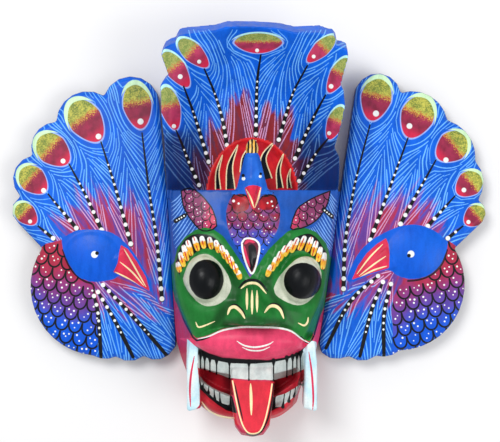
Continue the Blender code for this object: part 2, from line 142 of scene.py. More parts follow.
# A finer copy of a carved solid, softened as by the carver's sandpaper.
def finerCopy(nodeName, pieceName, grain, softening):
    deselectAll()
    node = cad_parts[nodeName]
    node.select_set(True)
    bpy.context.view_layer.objects.active = node
    bpy.ops.object.duplicate()
    piece = bpy.context.active_object
    piece.name = pieceName
    piece.data.name = pieceName
    piece.parent = None
    for key in list(piece.keys()):
        del piece[key]
    bpy.ops.object.mode_set(mode="EDIT")
    bpy.ops.mesh.select_all(action="SELECT")
    bpy.ops.mesh.remove_doubles(threshold=0.00002)
    bpy.ops.object.mode_set(mode="OBJECT")
    finer = piece.modifiers.new("finer", "REMESH")
    finer.mode = "VOXEL"
    finer.voxel_size = grain
    bpy.ops.object.modifier_apply(modifier="finer")
    soften = piece.modifiers.new("soften", "SMOOTH")
    soften.factor = 0.5
    soften.iterations = softening
    bpy.ops.object.modifier_apply(modifier="soften")
    bpy.ops.object.shade_smooth()
    piece.data.materials.clear()
    return piece


# Everything about a piece's faces that the painting needs, as arrays.
class Surface:
    def __init__(self, piece):
        mesh = piece.data
        self.mesh = mesh
        self.places = np.empty(len(mesh.vertices) * 3)
        mesh.vertices.foreach_get("co", self.places)
        self.places = self.places.reshape(-1, 3)
        self.flat = toSketch(self.places)
        self.cornerVertex = np.empty(len(mesh.loops), int)
        mesh.loops.foreach_get("vertex_index", self.cornerVertex)
        count = np.empty(len(mesh.polygons), int)
        mesh.polygons.foreach_get("loop_total", count)
        self.cornerFace = np.repeat(np.arange(len(count)), count)
        centre = np.empty(len(count) * 3)
        mesh.polygons.foreach_get("center", centre)
        self.centre = centre.reshape(-1, 3)
        normal = np.empty(len(count) * 3)
        mesh.polygons.foreach_get("normal", normal)
        self.normal = normal.reshape(-1, 3)
        upright = np.empty(len(mesh.vertices) * 3)
        mesh.vertex_normals.foreach_get("vector", upright)
        self.steep = 1 - upright.reshape(-1, 3)[:, 2]
        self.flatCentre = toSketch(self.centre)
        self.corner = self.flat[self.cornerVertex]

    def keep(self, name, values, domain="CORNER"):
        if values.ndim == 1:
            layer = self.mesh.attributes.new(name, "FLOAT", domain)
            layer.data.foreach_set("value", values.astype(np.float32))
        else:
            wide = np.zeros((len(values), 3), np.float32)
            wide[:, :values.shape[1]] = values
            layer = self.mesh.attributes.new(name, "FLOAT_VECTOR", domain)
            layer.data.foreach_set("vector", wide.ravel())


# A smooth line through a few points.
def smoothLine(points, steps=4):
    points = [np.array(p, float) for p in points]
    if len(points) < 3:
        return [points[0] + (points[1] - points[0]) * i / steps for i in range(steps + 1)]
    line = []
    ends = [2 * points[0] - points[1]] + points + [2 * points[-1] - points[-2]]
    for a, b, c, d in zip(ends, ends[1:], ends[2:], ends[3:]):
        for i in range(steps):
            t = i / steps
            line.append(0.5 * (2 * b + (c - a) * t + (2 * a - 5 * b + 4 * c - d) * t * t
                               + (3 * b - a - 3 * c + d) * t ** 3))
    line.append(points[-1])
    return line


# The length along a line at each of its points.
def lengthsAlong(line, start=0.0):
    steps = [start]
    for a, b in zip(line, line[1:]):
        steps.append(steps[-1] + np.hypot(*(b - a)))
    return steps


# One brush stroke: its line, its half width, and how its ends thin out.
def stroke(points, half, ends="thin", steps=4):
    line = smoothLine(points, steps)
    count = len(line)
    widths = []
    for i in range(count):
        t = i / (count - 1)
        if ends == "thin":
            widths.append(half * (0.3 + 0.7 * sin(pi * t) ** 0.6))
        elif ends == "growing":
            widths.append(half * (0.35 + 0.65 * t))
        elif ends == "drop":
            widths.append(half * (0.25 + 0.75 * sin(pi * min(1.0, 0.15 + 0.6 * t))))
        else:
            widths.append(half)
    return line, widths


# Each face takes its nearest stroke. Its corners keep their place across and past that stroke,
# and a third number: the share of the way along it, or the stroke's own tone.
def strokeLayer(surface, name, strokes, facing=0.1, tones=None):
    a, b, wa, wb, begin, end = [], [], [], [], [], []
    for number, (line, widths) in enumerate(strokes):
        pieces = len(line) - 1
        for i in range(pieces):
            a.append(line[i])
            b.append(line[i + 1])
            wa.append(widths[i])
            wb.append(widths[i + 1])
            begin.append(tones[number] if tones else i / pieces)
            end.append(tones[number] if tones else (i + 1) / pieces)
    a, b = np.array(a, float), np.array(b, float)
    wa, wb, begin, end = np.array(wa), np.array(wb), np.array(begin), np.array(end)
    way = b - a
    length = np.maximum(np.hypot(way[:, 0], way[:, 1]), 1e-6)
    way = way / length[:, None]
    count = len(surface.flatCentre)
    pick = np.zeros(count, int)
    near = np.full(count, 99.0)
    wanted = np.where(surface.normal[:, 2] > facing)[0]
    if len(a) > 900:
        samples = []
        for i in range(len(a)):
            steps = max(1, int(length[i] / 0.8))
            samples += [(a[i] + (b[i] - a[i]) * (k + 0.5) / steps, i) for k in range(steps)]
        tree = KDTree(len(samples))
        for (x, y), i in samples:
            tree.insert((x, y, 0), i)
        tree.balance()
        for row in wanted:
            x, y = surface.flatCentre[row]
            pick[row], near[row] = tree.find((x, y, 0))[1:]
    else:
        for start in range(0, len(wanted), 4000):
            rows = wanted[start:start + 4000]
            off = surface.flatCentre[rows][:, None, :] - a[None]
            t = np.clip((off * way[None]).sum(2), 0, length[None])
            gap = off - way[None] * t[..., None]
            far = np.hypot(gap[..., 0], gap[..., 1]) - wa[None] - (wb - wa)[None] * t / length[None]
            pick[rows] = far.argmin(1)
            near[rows] = far.min(1)
    p = pick[surface.cornerFace]
    off = surface.corner - a[p]
    t = (off * way[p]).sum(1)
    across = off[:, 1] * way[p][:, 0] - off[:, 0] * way[p][:, 1]
    share = np.clip(t / length[p], 0, 1)
    half = np.maximum(wa[p] + (wb[p] - wa[p]) * share, 0.08)
    past = np.maximum(np.maximum(-t, t - length[p]), 0)
    values = np.stack([across / half, past / half, begin[p] + (end[p] - begin[p]) * share], 1)
    values[near[surface.cornerFace] > 4] = 9
    surface.keep(name, values)


# The same for round dots: (x, y, radius).
def dotLayer(surface, name, dots, facing=0.1):
    dots = np.array(dots, float)
    count = len(surface.flatCentre)
    pick = np.zeros(count, int)
    near = np.full(count, 99.0)
    wanted = np.where(surface.normal[:, 2] > facing)[0]
    for start in range(0, len(wanted), 4000):
        rows = wanted[start:start + 4000]
        off = surface.flatCentre[rows][:, None, :] - dots[None, :, :2]
        far = np.hypot(off[..., 0], off[..., 1]) - dots[None, :, 2]
        pick[rows] = far.argmin(1)
        near[rows] = far.min(1)
    p = pick[surface.cornerFace]
    values = (surface.corner - dots[p, :2]) / dots[p, 2:3]
    values[near[surface.cornerFace] > 4] = 9
    surface.keep(name, values)


# Distance to the edge of painted areas, less than 0 inside. Areas are closed rounds of points.
def areaDistance(points, areas):
    best = np.full(len(points), 1e3)
    for area in areas:
        area = np.array(area, float)
        far = np.full(len(points), 1e3)
        inside = np.zeros(len(points), bool)
        for a, b in zip(area, np.roll(area, -1, 0)):
            way = b - a
            off = points - a
            t = np.clip((off @ way) / max(way @ way, 1e-9), 0, 1)
            gap = off - way[None] * t[:, None]
            far = np.minimum(far, np.hypot(gap[:, 0], gap[:, 1]))
            if a[1] != b[1]:
                crossing = (a[1] > points[:, 1]) != (b[1] > points[:, 1])
                edge = (b[0] - a[0]) * (points[:, 1] - a[1]) / (b[1] - a[1]) + a[0]
                inside ^= crossing & (points[:, 0] < edge)
        best = np.minimum(best, np.where(inside, -far, far))
    return best


def areaLayer(surface, name, areas):
    surface.keep(name, areaDistance(surface.flat, areas), "POINT")


def roundArea(points, steps=3):
    line = smoothLine(list(points) + [points[0]], steps)
    return line[:-1]


def turned(points, angle):
    c, s = cos(angle), sin(angle)
    return np.stack([points[..., 0] * c - points[..., 1] * s, points[..., 0] * s + points[..., 1] * c], -1)


# A feather's spine runs from the tip of its eye down to the root of its quill.
def spineOf(feather):
    eye = np.array(feather["eye"], float)
    down = np.array(feather["quill"][0], float) - eye
    if "axis" in feather:
        down = -turned(np.array((0.0, -1.0)), radians(feather["axis"]))
    down = down / np.hypot(*down)
    return [eye - down * feather["size"][1] * 0.8, eye] + smoothLine(feather["quill"], 3), down


# Distance from the spine, place along it from the eye down, and place across it.
def alongSpine(feather, points):
    spine = spineOf(feather)[0]
    best = np.full(len(points), 1e9)
    along = np.zeros(len(points))
    across = np.zeros(len(points))
    done = -np.hypot(*(spine[1] - spine[0]))
    for a, b in zip(spine, spine[1:]):
        way = b - a
        length = max(np.hypot(*way), 1e-6)
        way = way / length
        off = points - a
        t = off @ way
        gap = off - way[None] * np.clip(t, 0, length)[:, None]
        far = np.hypot(gap[:, 0], gap[:, 1])
        take = far < best
        best = np.where(take, far, best)
        along = np.where(take, done + t, along)
        across = np.where(take, off[:, 1] * way[0] - off[:, 0] * way[1], across)
        done += length
    return best, along, across


def ownerOf(feathers, points):
    return np.stack([alongSpine(f, points)[0] for f in feathers]).argmin(0)


# Places in a feather's eye: its edge is at 1 and its tip upward.
def inEye(feather, points):
    down = spineOf(feather)[1]
    angle = np.arctan2(down[0], down[1])
    local = turned(points - np.array(feather["eye"], float), angle)
    return local / np.array(feather["size"], float) * np.array((1, -1)), angle


def featherLayers(surface, feathers):
    owner = ownerOf(feathers, surface.flatCentre)[surface.cornerFace]
    eye = np.full((len(surface.corner), 3), 9.0)
    eyed = [f for f in feathers if not f.get("bare")]
    reach = np.stack([np.hypot(*inEye(f, surface.flatCentre)[0].T) for f in eyed])
    nearest = reach.argmin(0)[surface.cornerFace]
    flow = np.zeros((len(surface.corner), 3))
    for i, feather in enumerate(feathers):
        rows = np.where(owner == i)[0]
        along, across = alongSpine(feather, surface.corner[rows])[1:]
        flow[rows] = np.stack([across * 0.3, along * 0.03, np.full(len(rows), i * 5.1)], 1)
    for i, feather in enumerate(eyed):
        rows = np.where(nearest == i)[0]
        local = inEye(feather, surface.corner[rows])[0]
        glow = radians(feather.get("glow", 0))
        toward = local @ np.array((sin(glow), cos(glow))) / np.maximum(np.hypot(*local.T), 0.05)
        eye[rows] = np.column_stack([local, toward])
    eye[surface.normal[surface.cornerFace, 2] < 0.35] = 9
    surface.keep("flow", flow)
    surface.keep("featherEye", eye)


# Barbs leave the quill like a fern's leaves, bend toward the tip and part round the eye.
# A barb stops where it leaves its feather, and keeps its longest run that isn't crowded by others.
# The barbs that start widest apart are laid first.
def barbStrokes(feathers, rng, brush):
    strokes, taken = [], {}
    gap = brush["gap"]
    beyondEye = 60.0

    def crowded(p):
        x, y = int(p[0] // gap), int(p[1] // gap)
        for i in (-1, 0, 1):
            for j in (-1, 0, 1):
                for q in taken.get((x + i, y + j), ()):
                    if (p[0] - q[0]) ** 2 + (p[1] - q[1]) ** 2 < gap * gap:
                        return True
        return False

    for number, feather in enumerate(feathers):
        spine, down = spineOf(feather)
        rootWay = spine[-1] - spine[-2]
        past = spine[-1] + rootWay / np.hypot(*rootWay) * brush["under"]
        line = [spine[1] - down * beyondEye] + spine[1:] + [past]
        steps = lengthsAlong(line, -beyondEye)
        xs, ys = [p[0] for p in line], [p[1] for p in line]
        size = np.array(feather["size"], float)
        total = steps[-1]

        def onSpine(level):
            r, p, q = [np.array((np.interp(at, steps, xs), np.interp(at, steps, ys)))
                       for at in (level - 2, level, level + 2)]
            way = (q - r) / max(np.hypot(*(q - r)), 1e-6)
            return p, np.array((-way[1], way[0]))

        levels = np.arange(-size[1] * 1.6, total, 5.0)
        for side in (-1, 1):
            room = []
            for level in levels:
                p, n = onSpine(level)
                tries = np.arange(2.0, brush["reach"], 1.0)
                found = ownerOf(feathers, p + side * n * tries[:, None]) != number
                free = 1.2 * tries[found.argmax()] if found.any() else brush["reach"]
                held = size[0] * 1.1 * np.sqrt(max(0.0, 1 - (level / size[1] / 1.15) ** 2))
                room.append(np.sqrt(max(free ** 2 - held ** 2, 9.0)))
            starts = np.arange(0.6, total - 1, brush["step"])
            order = sorted(range(len(starts)), key=lambda i: -(i & -i) if i else -99)
            for i in order:
                start = starts[i] + rng.uniform(-0.25, 0.25) * brush["step"]
                length = rng.uniform(0.65, 1.0) * brush["length"]
                lean = 1.3 - 0.75 * min(1, starts[i] / (total - brush["under"]))
                slope = brush["slope"] * rng.uniform(0.9, 1.1) * lean
                curve = []
                u = 0.0
                while u < length and start - u > levels[0]:
                    p, n = onSpine(start - u)
                    wide = np.interp(start - u, levels, room)
                    curve.append(p + side * n * wide * np.tanh(u * slope / wide))
                    u += 2.0
                if len(curve) < 4:
                    continue
                curve = np.array(curve)
                if not feather.get("bare"):
                    local, angle = inEye(feather, curve)
                    g = np.maximum(np.hypot(local[:, 0], local[:, 1]), 0.02)
                    local = local * (np.sqrt(g * g + 1.4) / g)[:, None] * size * np.array((1, -1))
                    curve = turned(local, -angle) + np.array(feather["eye"], float)
                best = np.stack([alongSpine(f, curve)[0] for f in feathers])
                out = np.where((best[number] > best.min(0) + 0.8) | (curve[:, 1] < brush["top"]))[0]
                kept = curve[:out[0]] if len(out) else curve
                first, last, run = 0, 0, 0
                for j, p in enumerate(kept):
                    run = 0 if crowded(p) else run + 1
                    if run > last - first:
                        first, last = j + 1 - run, j + 1
                kept = kept[first:last]
                if len(kept) < 7:
                    continue
                for p in kept[1:]:
                    taken.setdefault((int(p[0] // gap), int(p[1] // gap)), []).append(p)
                thick = brush["half"] * rng.uniform(0.75, 1.2)
                turns = [pi * min(1.0, 0.1 + 0.85 * j / len(kept)) for j in range(len(kept))]
                strokes.append((list(kept), [thick * (0.3 + 0.7 * sin(turn) ** 0.6) for turn in turns]))
    return strokes


# White dots along a quill that grow toward its root.
def quillDots(line, start, end, small, large, spacing):
    line = smoothLine(line)
    steps = lengthsAlong(line)
    total = steps[-1]
    place = total * end - large * 0.5
    dots = []
    while place > total * start:
        t = place / total
        x = np.interp(place, steps, [p[0] for p in line])
        y = np.interp(place, steps, [p[1] for p in line])
        share = (t - start) / (end - start)
        dots.append((x, y, small + (large - small) * share))
        place -= spacing * (0.75 + 0.5 * share)
    return dots


finishLook = dict(
    darkest=0.86,
    lightest=1.1,
    smoother=0.07,
    rougher=0.1,
    specular=0.16,
    coatRough=0.22,
    bump=0.5,
)


# Materials are node trees. This keeps the calls short.
class Tree:
    def __init__(self, name):
        self.material = bpy.data.materials.new(name)
        self.material.use_nodes = True
        self.nodes = self.material.node_tree.nodes
        self.links = self.material.node_tree.links
        self.shader = self.nodes["Principled BSDF"]

    def put(self, socket, value):
        if isinstance(value, bpy.types.NodeSocket):
            self.links.new(value, socket)
        else:
            socket.default_value = value

    def calculate(self, operation, a, b=0.0, c=0.0):
        node = self.nodes.new("ShaderNodeMath")
        node.operation = operation
        for socket, value in zip(node.inputs, (a, b, c)):
            self.put(socket, value)
        return node.outputs[0]

    def times(self, a, b):
        return self.calculate("MULTIPLY", a, b)

    def plus(self, a, b):
        return self.calculate("ADD", a, b)

    def minus(self, a, b):
        return self.calculate("SUBTRACT", a, b)

    def most(self, a, b):
        return self.calculate("MAXIMUM", a, b)

    def ramp(self, value, low, high, start=0.0, end=1.0):
        node = self.nodes.new("ShaderNodeMapRange")
        node.interpolation_type = "SMOOTHSTEP"
        for socket, number in zip(node.inputs, (value, low, high, start, end)):
            self.put(socket, number)
        return node.outputs[0]

    def mix(self, share, a, b):
        node = self.nodes.new("ShaderNodeMix")
        node.data_type = "RGBA"
        self.put(node.inputs[0], share)
        self.put(node.inputs[6], a)
        self.put(node.inputs[7], b)
        return node.outputs[2]

    def read(self, name):
        node = self.nodes.new("ShaderNodeAttribute")
        node.attribute_name = name
        return node

    def value(self, name):
        return self.read(name).outputs["Fac"]

    def vector(self, name):
        return self.read(name).outputs["Vector"]

    def split(self, vector):
        node = self.nodes.new("ShaderNodeSeparateXYZ")
        self.links.new(vector, node.inputs[0])
        return node.outputs

    def place(self):
        return self.nodes.new("ShaderNodeTexCoord").outputs["Object"]

    def noise(self, scale, detail=2.0, stretch=None, vector=None):
        node = self.nodes.new("ShaderNodeTexNoise")
        node.inputs["Scale"].default_value = scale
        node.inputs["Detail"].default_value = detail
        vector = vector or self.place()
        if stretch:
            mapping = self.nodes.new("ShaderNodeMapping")
            mapping.inputs["Scale"].default_value = stretch
            self.links.new(vector, mapping.inputs[0])
            vector = mapping.outputs[0]
        self.links.new(vector, node.inputs["Vector"])
        return node.outputs["Fac"]

    def cloudy(self, name):
        scale, a, b = clouds[name]
        return self.mix(self.ramp(self.noise(scale, 2), 0.3, 0.7), a, b)

    def unsteady(self, scale, amount, detail=1):
        return self.times(self.minus(self.noise(scale, detail), 0.5), amount)

    def inArea(self, name, wobble, soft=0.35):
        edge = self.plus(self.value(name), wobble)
        return self.ramp(edge, soft, -soft)

    def fill(self, colour, name, wobble, paint, soft=0.35):
        return self.mix(self.inArea(name, wobble, soft), colour, paint)

    def onStroke(self, name, soft=0.25):
        flat = self.nodes.new("ShaderNodeVectorMath")
        flat.operation = "MULTIPLY"
        flat.inputs[1].default_value = (1, 1, 0)
        self.links.new(self.vector(name), flat.inputs[0])
        far = self.nodes.new("ShaderNodeVectorMath")
        far.operation = "LENGTH"
        self.links.new(flat.outputs[0], far.inputs[0])
        return self.ramp(far.outputs["Value"], 1 + soft, 1 - soft)

    def finish(self, colour, height, rough=0.4, coat=0.04, bumpSize=0.00012):
        look = finishLook
        grain = self.noise(900, 3)
        brush = self.noise(260, 2, (1, 0.22, 1))
        speckle = self.times(grain, 0.35)
        streak = self.times(brush, 0.65)
        tone = self.ramp(self.plus(speckle, streak), 0.3, 0.7, look["darkest"], look["lightest"])
        worn = self.nodes.new("ShaderNodeVectorMath")
        worn.operation = "SCALE"
        self.links.new(colour, worn.inputs[0])
        self.links.new(tone, worn.inputs["Scale"])
        self.links.new(worn.outputs[0], self.shader.inputs["Base Color"])
        uneven = self.ramp(brush, 0.3, 0.7, rough - look["smoother"], rough + look["rougher"])
        self.links.new(uneven, self.shader.inputs["Roughness"])
        self.shader.inputs["Specular IOR Level"].default_value = look["specular"]
        self.shader.inputs["Coat Weight"].default_value = coat
        self.shader.inputs["Coat Roughness"].default_value = look["coatRough"]
        surfaceHeight = self.plus(self.times(brush, 0.5), height)
        bump = self.nodes.new("ShaderNodeBump")
        bump.inputs["Strength"].default_value = look["bump"]
        bump.inputs["Distance"].default_value = bumpSize
        self.links.new(surfaceHeight, bump.inputs["Height"])
        self.links.new(bump.outputs[0], self.shader.inputs["Normal"])
        return self.material


# The feathers: blue ground with crimson fades, pale barbs and the eyes.
def featherColour(tree, eyeRed, fadeA, fadeB, eyeTop, crescentColour, crescentWide):
    flow = tree.vector("flow")
    streak = tree.minus(tree.noise(1.0, 3, vector=flow), 0.5)
    share = tree.plus(tree.value("fade"), tree.times(streak, 1.3))
    redShare = tree.ramp(share, 0.36, 0.8)
    ground = tree.cloudy("featherBlue")
    fadeColour = tree.mix(tree.ramp(tree.noise(0.7, 2, vector=flow), 0.38, 0.62), fadeA, fadeB)
    ground = tree.mix(redShare, ground, fadeColour)
    lineColour = tree.mix(redShare, paints["paleBlue"], paints["pinkLine"])
    tone = tree.split(tree.vector("barb"))[2]
    line = tree.times(tree.onStroke("barb", 0.3), tone)
    colour = tree.mix(line, ground, lineColour)

    # The eye: speckled yellow over crimson, a thin ring round it and a pale crescent along one side.
    x, y, toward = tree.split(tree.vector("featherEye"))
    below = tree.most(tree.times(y, -1.0), 0.0)
    pointed = tree.plus(1.0, tree.times(below, 0.28))
    x = tree.times(x, pointed)
    reach = tree.calculate("SQRT", tree.plus(tree.times(x, x), tree.times(y, y)))
    speck = tree.noise(1300, 2)
    mottle = tree.plus(tree.times(speck, 0.7), tree.times(tree.noise(260, 2), 0.4))
    yellowGround = tree.mix(tree.ramp(mottle, 0.42, 0.68), *eyeTop)
    turn = tree.plus(tree.minus(y, 0.06), tree.times(tree.minus(speck, 0.5), 0.9))
    darkRed = tree.mix(0.35, eyeRed, paints["black"])
    inner = tree.mix(tree.ramp(tree.noise(160, 2), 0.35, 0.7), eyeRed, darkRed)
    inner = tree.mix(tree.ramp(y, -0.4, -0.85), inner, paints["eyeFoot"])
    inner = tree.mix(tree.ramp(turn, -0.06, 0.14), inner, paints["orange"])
    inner = tree.mix(tree.ramp(turn, 0.06, 0.24), inner, yellowGround)
    ringColour = tree.mix(0.3, paints["paleBlue"], paints["pinkLine"])
    ring = tree.mix(tree.ramp(reach, 1.02, 0.98), ringColour, inner)
    colour = tree.mix(tree.ramp(reach, 1.10, 1.06), colour, ring)
    taper = tree.ramp(toward, 0.1, 0.95)
    inside = tree.minus(reach, tree.minus(1.13, tree.times(taper, crescentWide)))
    crescent = tree.times(tree.ramp(inside, 0.0, 0.04), tree.ramp(reach, 1.17, 1.12))
    crescent = tree.times(crescent, tree.ramp(toward, 0.12, 0.3))
    colour = tree.mix(crescent, colour, crescentColour)
    return colour, line


# Dots on quills: from, to, smallest, largest, spacing.
wingPaint = dict(
    quillHalf=2.2,
    firstQuillDots=(0.30, 1.0, 0.95, 2.4, 8.2),
    quillDots=(0.22, 1.0, 0.95, 2.4, 8.2),
    rootDots=(0.3, 1.02, 0.9, 2.2, 7.5),
    beakHalf=0.8,
    eyeRound=3.4,
    pupilRound=1.9,
    deepestRed=1.4,
    lowRed=0.55,
)
wingScales = dict(wide=13.5, tall=12.0, dotSize=0.9, arcHalf=0.95)
wingBarbs = dict(step=4.2, gap=1.95, slope=0.45, reach=30, length=130, under=26, half=0.58, top=0)


# Feathers whose eyes lie beyond the foot of the board, so that only their barbs are seen.
def bareFeathers(rows):
    return [dict(eye=eye, size=(1, 1), quill=quill, bare=True) for eye, quill in rows]


leftFeathers = [
    dict(eye=(137.5, 106), size=(14.2, 23), dot=(140.5, 121.5, 3.0), glow=15,
         quill=[(142, 133), (149, 190), (157, 243), (162, 300)]),
    dict(eye=(86, 121), size=(16.5, 24), dot=(98.5, 136.5, 2.8), glow=-12,
         quill=[(101, 142), (116, 190), (131, 245)]),
    dict(eye=(53, 150), size=(15, 20), dot=(63, 161, 2.4), glow=-5,
         quill=[(69, 164), (86, 196), (102, 231)]),
    dict(eye=(33, 180), size=(13, 17), dot=(43.5, 190.5, 2.4), glow=-8, quill=[(48, 194), (77, 229)]),
    dict(eye=(26, 214), size=(10, 13.5), dot=(30, 221.5, 2.0), glow=0, quill=[(38, 226), (54, 239)]),
]
leftFeathers += bareFeathers([
    ((100, 385), [(98, 314), (94, 292)]),
    ((142, 380), [(133, 357), (98, 290)]),
    ((185, 375), [(168, 357), (103, 285)]),
    ((200, 345), [(172, 321), (145, 300), (115, 284)]),
])
leftRoots = [
    [(94, 296), (98, 314), (101, 357)],
    [(98, 292), (116, 323), (133, 357)],
    [(103, 285), (136, 320), (168, 357)],
]
rightFeathers = [
    dict(eye=(376, 99), size=(15.2, 22), dot=(376, 113.5, 3.0), glow=-5,
         quill=[(370, 125), (357, 175), (351, 205), (345, 245), (343.5, 290)]),
    dict(eye=(417, 117), size=(16.5, 22), dot=(409.5, 126, 2.8), glow=15,
         quill=[(408, 138), (389, 190), (370, 241)]),
    dict(eye=(452, 147), size=(15, 18), dot=(446, 160, 2.6), glow=10,
         quill=[(436, 160), (418, 192), (400, 225)]),
    dict(eye=(469, 184), size=(12.5, 15), dot=(464, 190, 2.3), glow=-5, quill=[(455, 196), (427, 227)]),
    dict(eye=(475, 216), size=(10.5, 12.5), dot=(468.5, 222, 2.0), glow=-5, quill=[(463, 226), (447, 239)]),
]
rightFeathers += bareFeathers([
    ((318, 372), [(326, 348), (350, 302), (378, 276)]),
    ((353, 385), [(360, 356), (372, 309), (383, 282)]),
    ((384, 385), [(384, 356), (384, 315), (391, 284)]),
    ((300, 340), [(330, 310), (355, 291), (383, 276)]),
])
rightRoots = [
    [(378, 276), (350, 302), (326, 348)],
    [(383, 282), (372, 309), (360, 356)],
    [(391, 284), (384, 315), (384, 356)],
]
leftBird = dict(
    head=[(62, 238), (75, 231), (88, 229.5), (100, 230), (110, 232), (120, 238), (129, 247), (140, 262),
          (149, 279), (152, 291), (146, 290), (134, 283), (122, 275), (114, 279), (105, 281), (95, 282),
          (82, 279), (75, 273), (69, 264), (65, 255), (62, 245)],
    beak=[(121, 245), (119, 253), (118, 262), (113.5, 272), (130, 280), (150, 291.5), (146, 277),
          (137, 262), (128, 249)],
    beakLines=[
        [(124, 249), (134, 266), (146, 287)],
        [(120, 262), (132, 272), (144, 286)],
        [(115, 272), (127, 278), (144, 289)],
    ],
    eye=(94.5, 254.5), pupil=(97, 253.2),
    body=[(62, 240), (45, 244), (25, 262), (18, 300), (45, 345), (92, 372), (97, 350), (99, 335),
          (98, 310), (94, 297), (93, 285), (84, 281), (74, 273), (67, 262), (63, 250)],
    fall=(-0.3, 0.95), tilt=12, seed=(60, 250),
    fadeAt=(108, 250), fadeReach=(60, 64), lowFadeAt=(142, 300), lowFadeReach=(52, 34),
)
rightBird = dict(
    head=[(448, 242), (438, 233), (425, 226.5), (410, 224.5), (395, 228), (380, 235), (368, 243),
          (358, 254), (350, 270), (347, 281), (356, 280.5), (372, 274), (388, 270), (398, 276),
          (410, 279), (420, 278), (430, 274), (438, 267), (443, 259), (447, 249)],
    beak=[(386, 238), (388.5, 244), (389.5, 254), (389, 268), (370, 273.5), (352, 279.5), (358, 266),
          (367, 253), (377, 244)],
    beakLines=[
        [(383, 244), (370, 257), (357, 274)],
        [(386, 256), (373, 265), (359, 276)],
        [(387, 266), (374, 270), (360, 277)],
    ],
    eye=(411, 254), pupil=(409, 255.6),
    body=[(448, 240), (456, 246), (478, 262), (478, 305), (450, 350), (392, 372), (391, 352), (393, 330),
          (391, 310), (394, 296), (399, 286), (408, 281), (420, 279.5), (431, 275), (439, 268),
          (444, 260), (447, 250)],
    fall=(0.3, 0.95), tilt=-12, seed=(440, 250),
    fadeAt=(392, 248), fadeReach=(58, 62), lowFadeAt=(350, 296), lowFadeReach=(50, 34),
)


# Rows of scales that hang down: each is an arc and a few dots.
def scaleRows(area, rng, wide, tall, tilt, dotSize, arcHalf, dotShare=1.0):
    area = np.array(area, float)
    low, high = area.min(0) - wide, area.max(0) + wide
    turn = radians(tilt)
    centre = (low + high) / 2
    arcs, spots = [], []
    rows = int(max(high - low) / tall) + 2

    def shifted(x, y, u, v):
        return x + u * cos(turn) - v * sin(turn), y + u * sin(turn) + v * cos(turn)

    for j in range(-rows // 2, rows // 2 + 1):
        for i in range(-rows // 2 - 2, rows // 2 + 3):
            x, y = shifted(*centre, (i + 0.5 * (j % 2)) * wide, j * tall)
            if areaDistance(np.array([[x, y]]), [area])[0] > 4:
                continue
            curve = []
            for k in range(9):
                angle = pi * k / 8
                curve.append(shifted(x, y, -wide / 2 * cos(angle), tall * 0.9 * sin(angle) ** 0.8))
            arcs.append(stroke(curve, arcHalf, "even", 2))
            for side in (-1, 0, 1):
                if side and rng.random() > dotShare * 0.75:
                    continue
                du = side * wide * 0.2 + rng.uniform(-0.8, 0.8)
                dv = tall * (0.1 if side else 0.42) + rng.uniform(-1, 1)
                spots.append((*shifted(x, y, du, dv), dotSize * rng.uniform(0.7, 1.15)))
    spots = [s for s in spots if areaDistance(np.array([s[:2]]), [area])[0] < -1]
    return arcs, spots


def paintWing(piece, feathers, roots, bird, seed):
    rng = np.random.default_rng(seed)
    surface = Surface(piece)
    featherLayers(surface, feathers)
    barbs = barbStrokes(feathers, rng, wingBarbs)
    strokeLayer(surface, "barb", barbs, tones=rng.uniform(0.72, 1.0, len(barbs)).tolist())
    black, dots = [], []
    for number, feather in enumerate(feathers):
        if feather.get("bare"):
            continue
        black.append(stroke(feather["quill"], wingPaint["quillHalf"], "growing"))
        row = wingPaint["quillDots"] if number else wingPaint["firstQuillDots"]
        dots += quillDots(feather["quill"], *row)
        dots.append(feather["dot"])
    for root in roots:
        black.append(stroke(root, wingPaint["quillHalf"], "drop"))
        dots += quillDots(root[::-1], *wingPaint["rootDots"])
    arcs, spots = scaleRows(bird["body"], rng, tilt=bird["tilt"], **wingScales)
    dots += [s for s in spots if areaDistance(np.array([s[:2]]), [bird["head"]])[0] > 1.5]
    black.append(stroke(bird["body"][-6:], 1.0, "even"))
    strokeLayer(surface, "blackLine", black)
    strokeLayer(surface, "scaleLine", arcs)
    dotLayer(surface, "whiteDot", dots)
    cream = [stroke(line, wingPaint["beakHalf"], "thin") for line in bird["beakLines"]]
    strokeLayer(surface, "creamLine", cream)
    areaLayer(surface, "birdHead", [roundArea(bird["head"])])
    areaLayer(surface, "beakArea", [bird["beak"]])
    areaLayer(surface, "scaleArea", [bird["body"]])
    dotLayer(surface, "birdEye", [(*bird["eye"], wingPaint["eyeRound"])])
    dotLayer(surface, "birdPupil", [(*bird["pupil"], wingPaint["pupilRound"])])
    away = (surface.flat - np.array(bird["fadeAt"])) / np.array(bird["fadeReach"])
    fade = np.clip(wingPaint["deepestRed"] - np.hypot(away[:, 0], away[:, 1]), 0, 1)
    away = (surface.flat - np.array(bird["lowFadeAt"])) / np.array(bird["lowFadeReach"])
    lowFade = np.clip(1.0 - np.hypot(away[:, 0], away[:, 1]), 0, wingPaint["lowRed"])
    fade = np.maximum(fade, lowFade)
    surface.keep("fade", fade, "POINT")
    fall = (surface.flat - np.array(bird["seed"])) @ np.array(bird["fall"])
    surface.keep("fall", fall, "POINT")
    surface.keep("rim", surface.steep, "POINT")


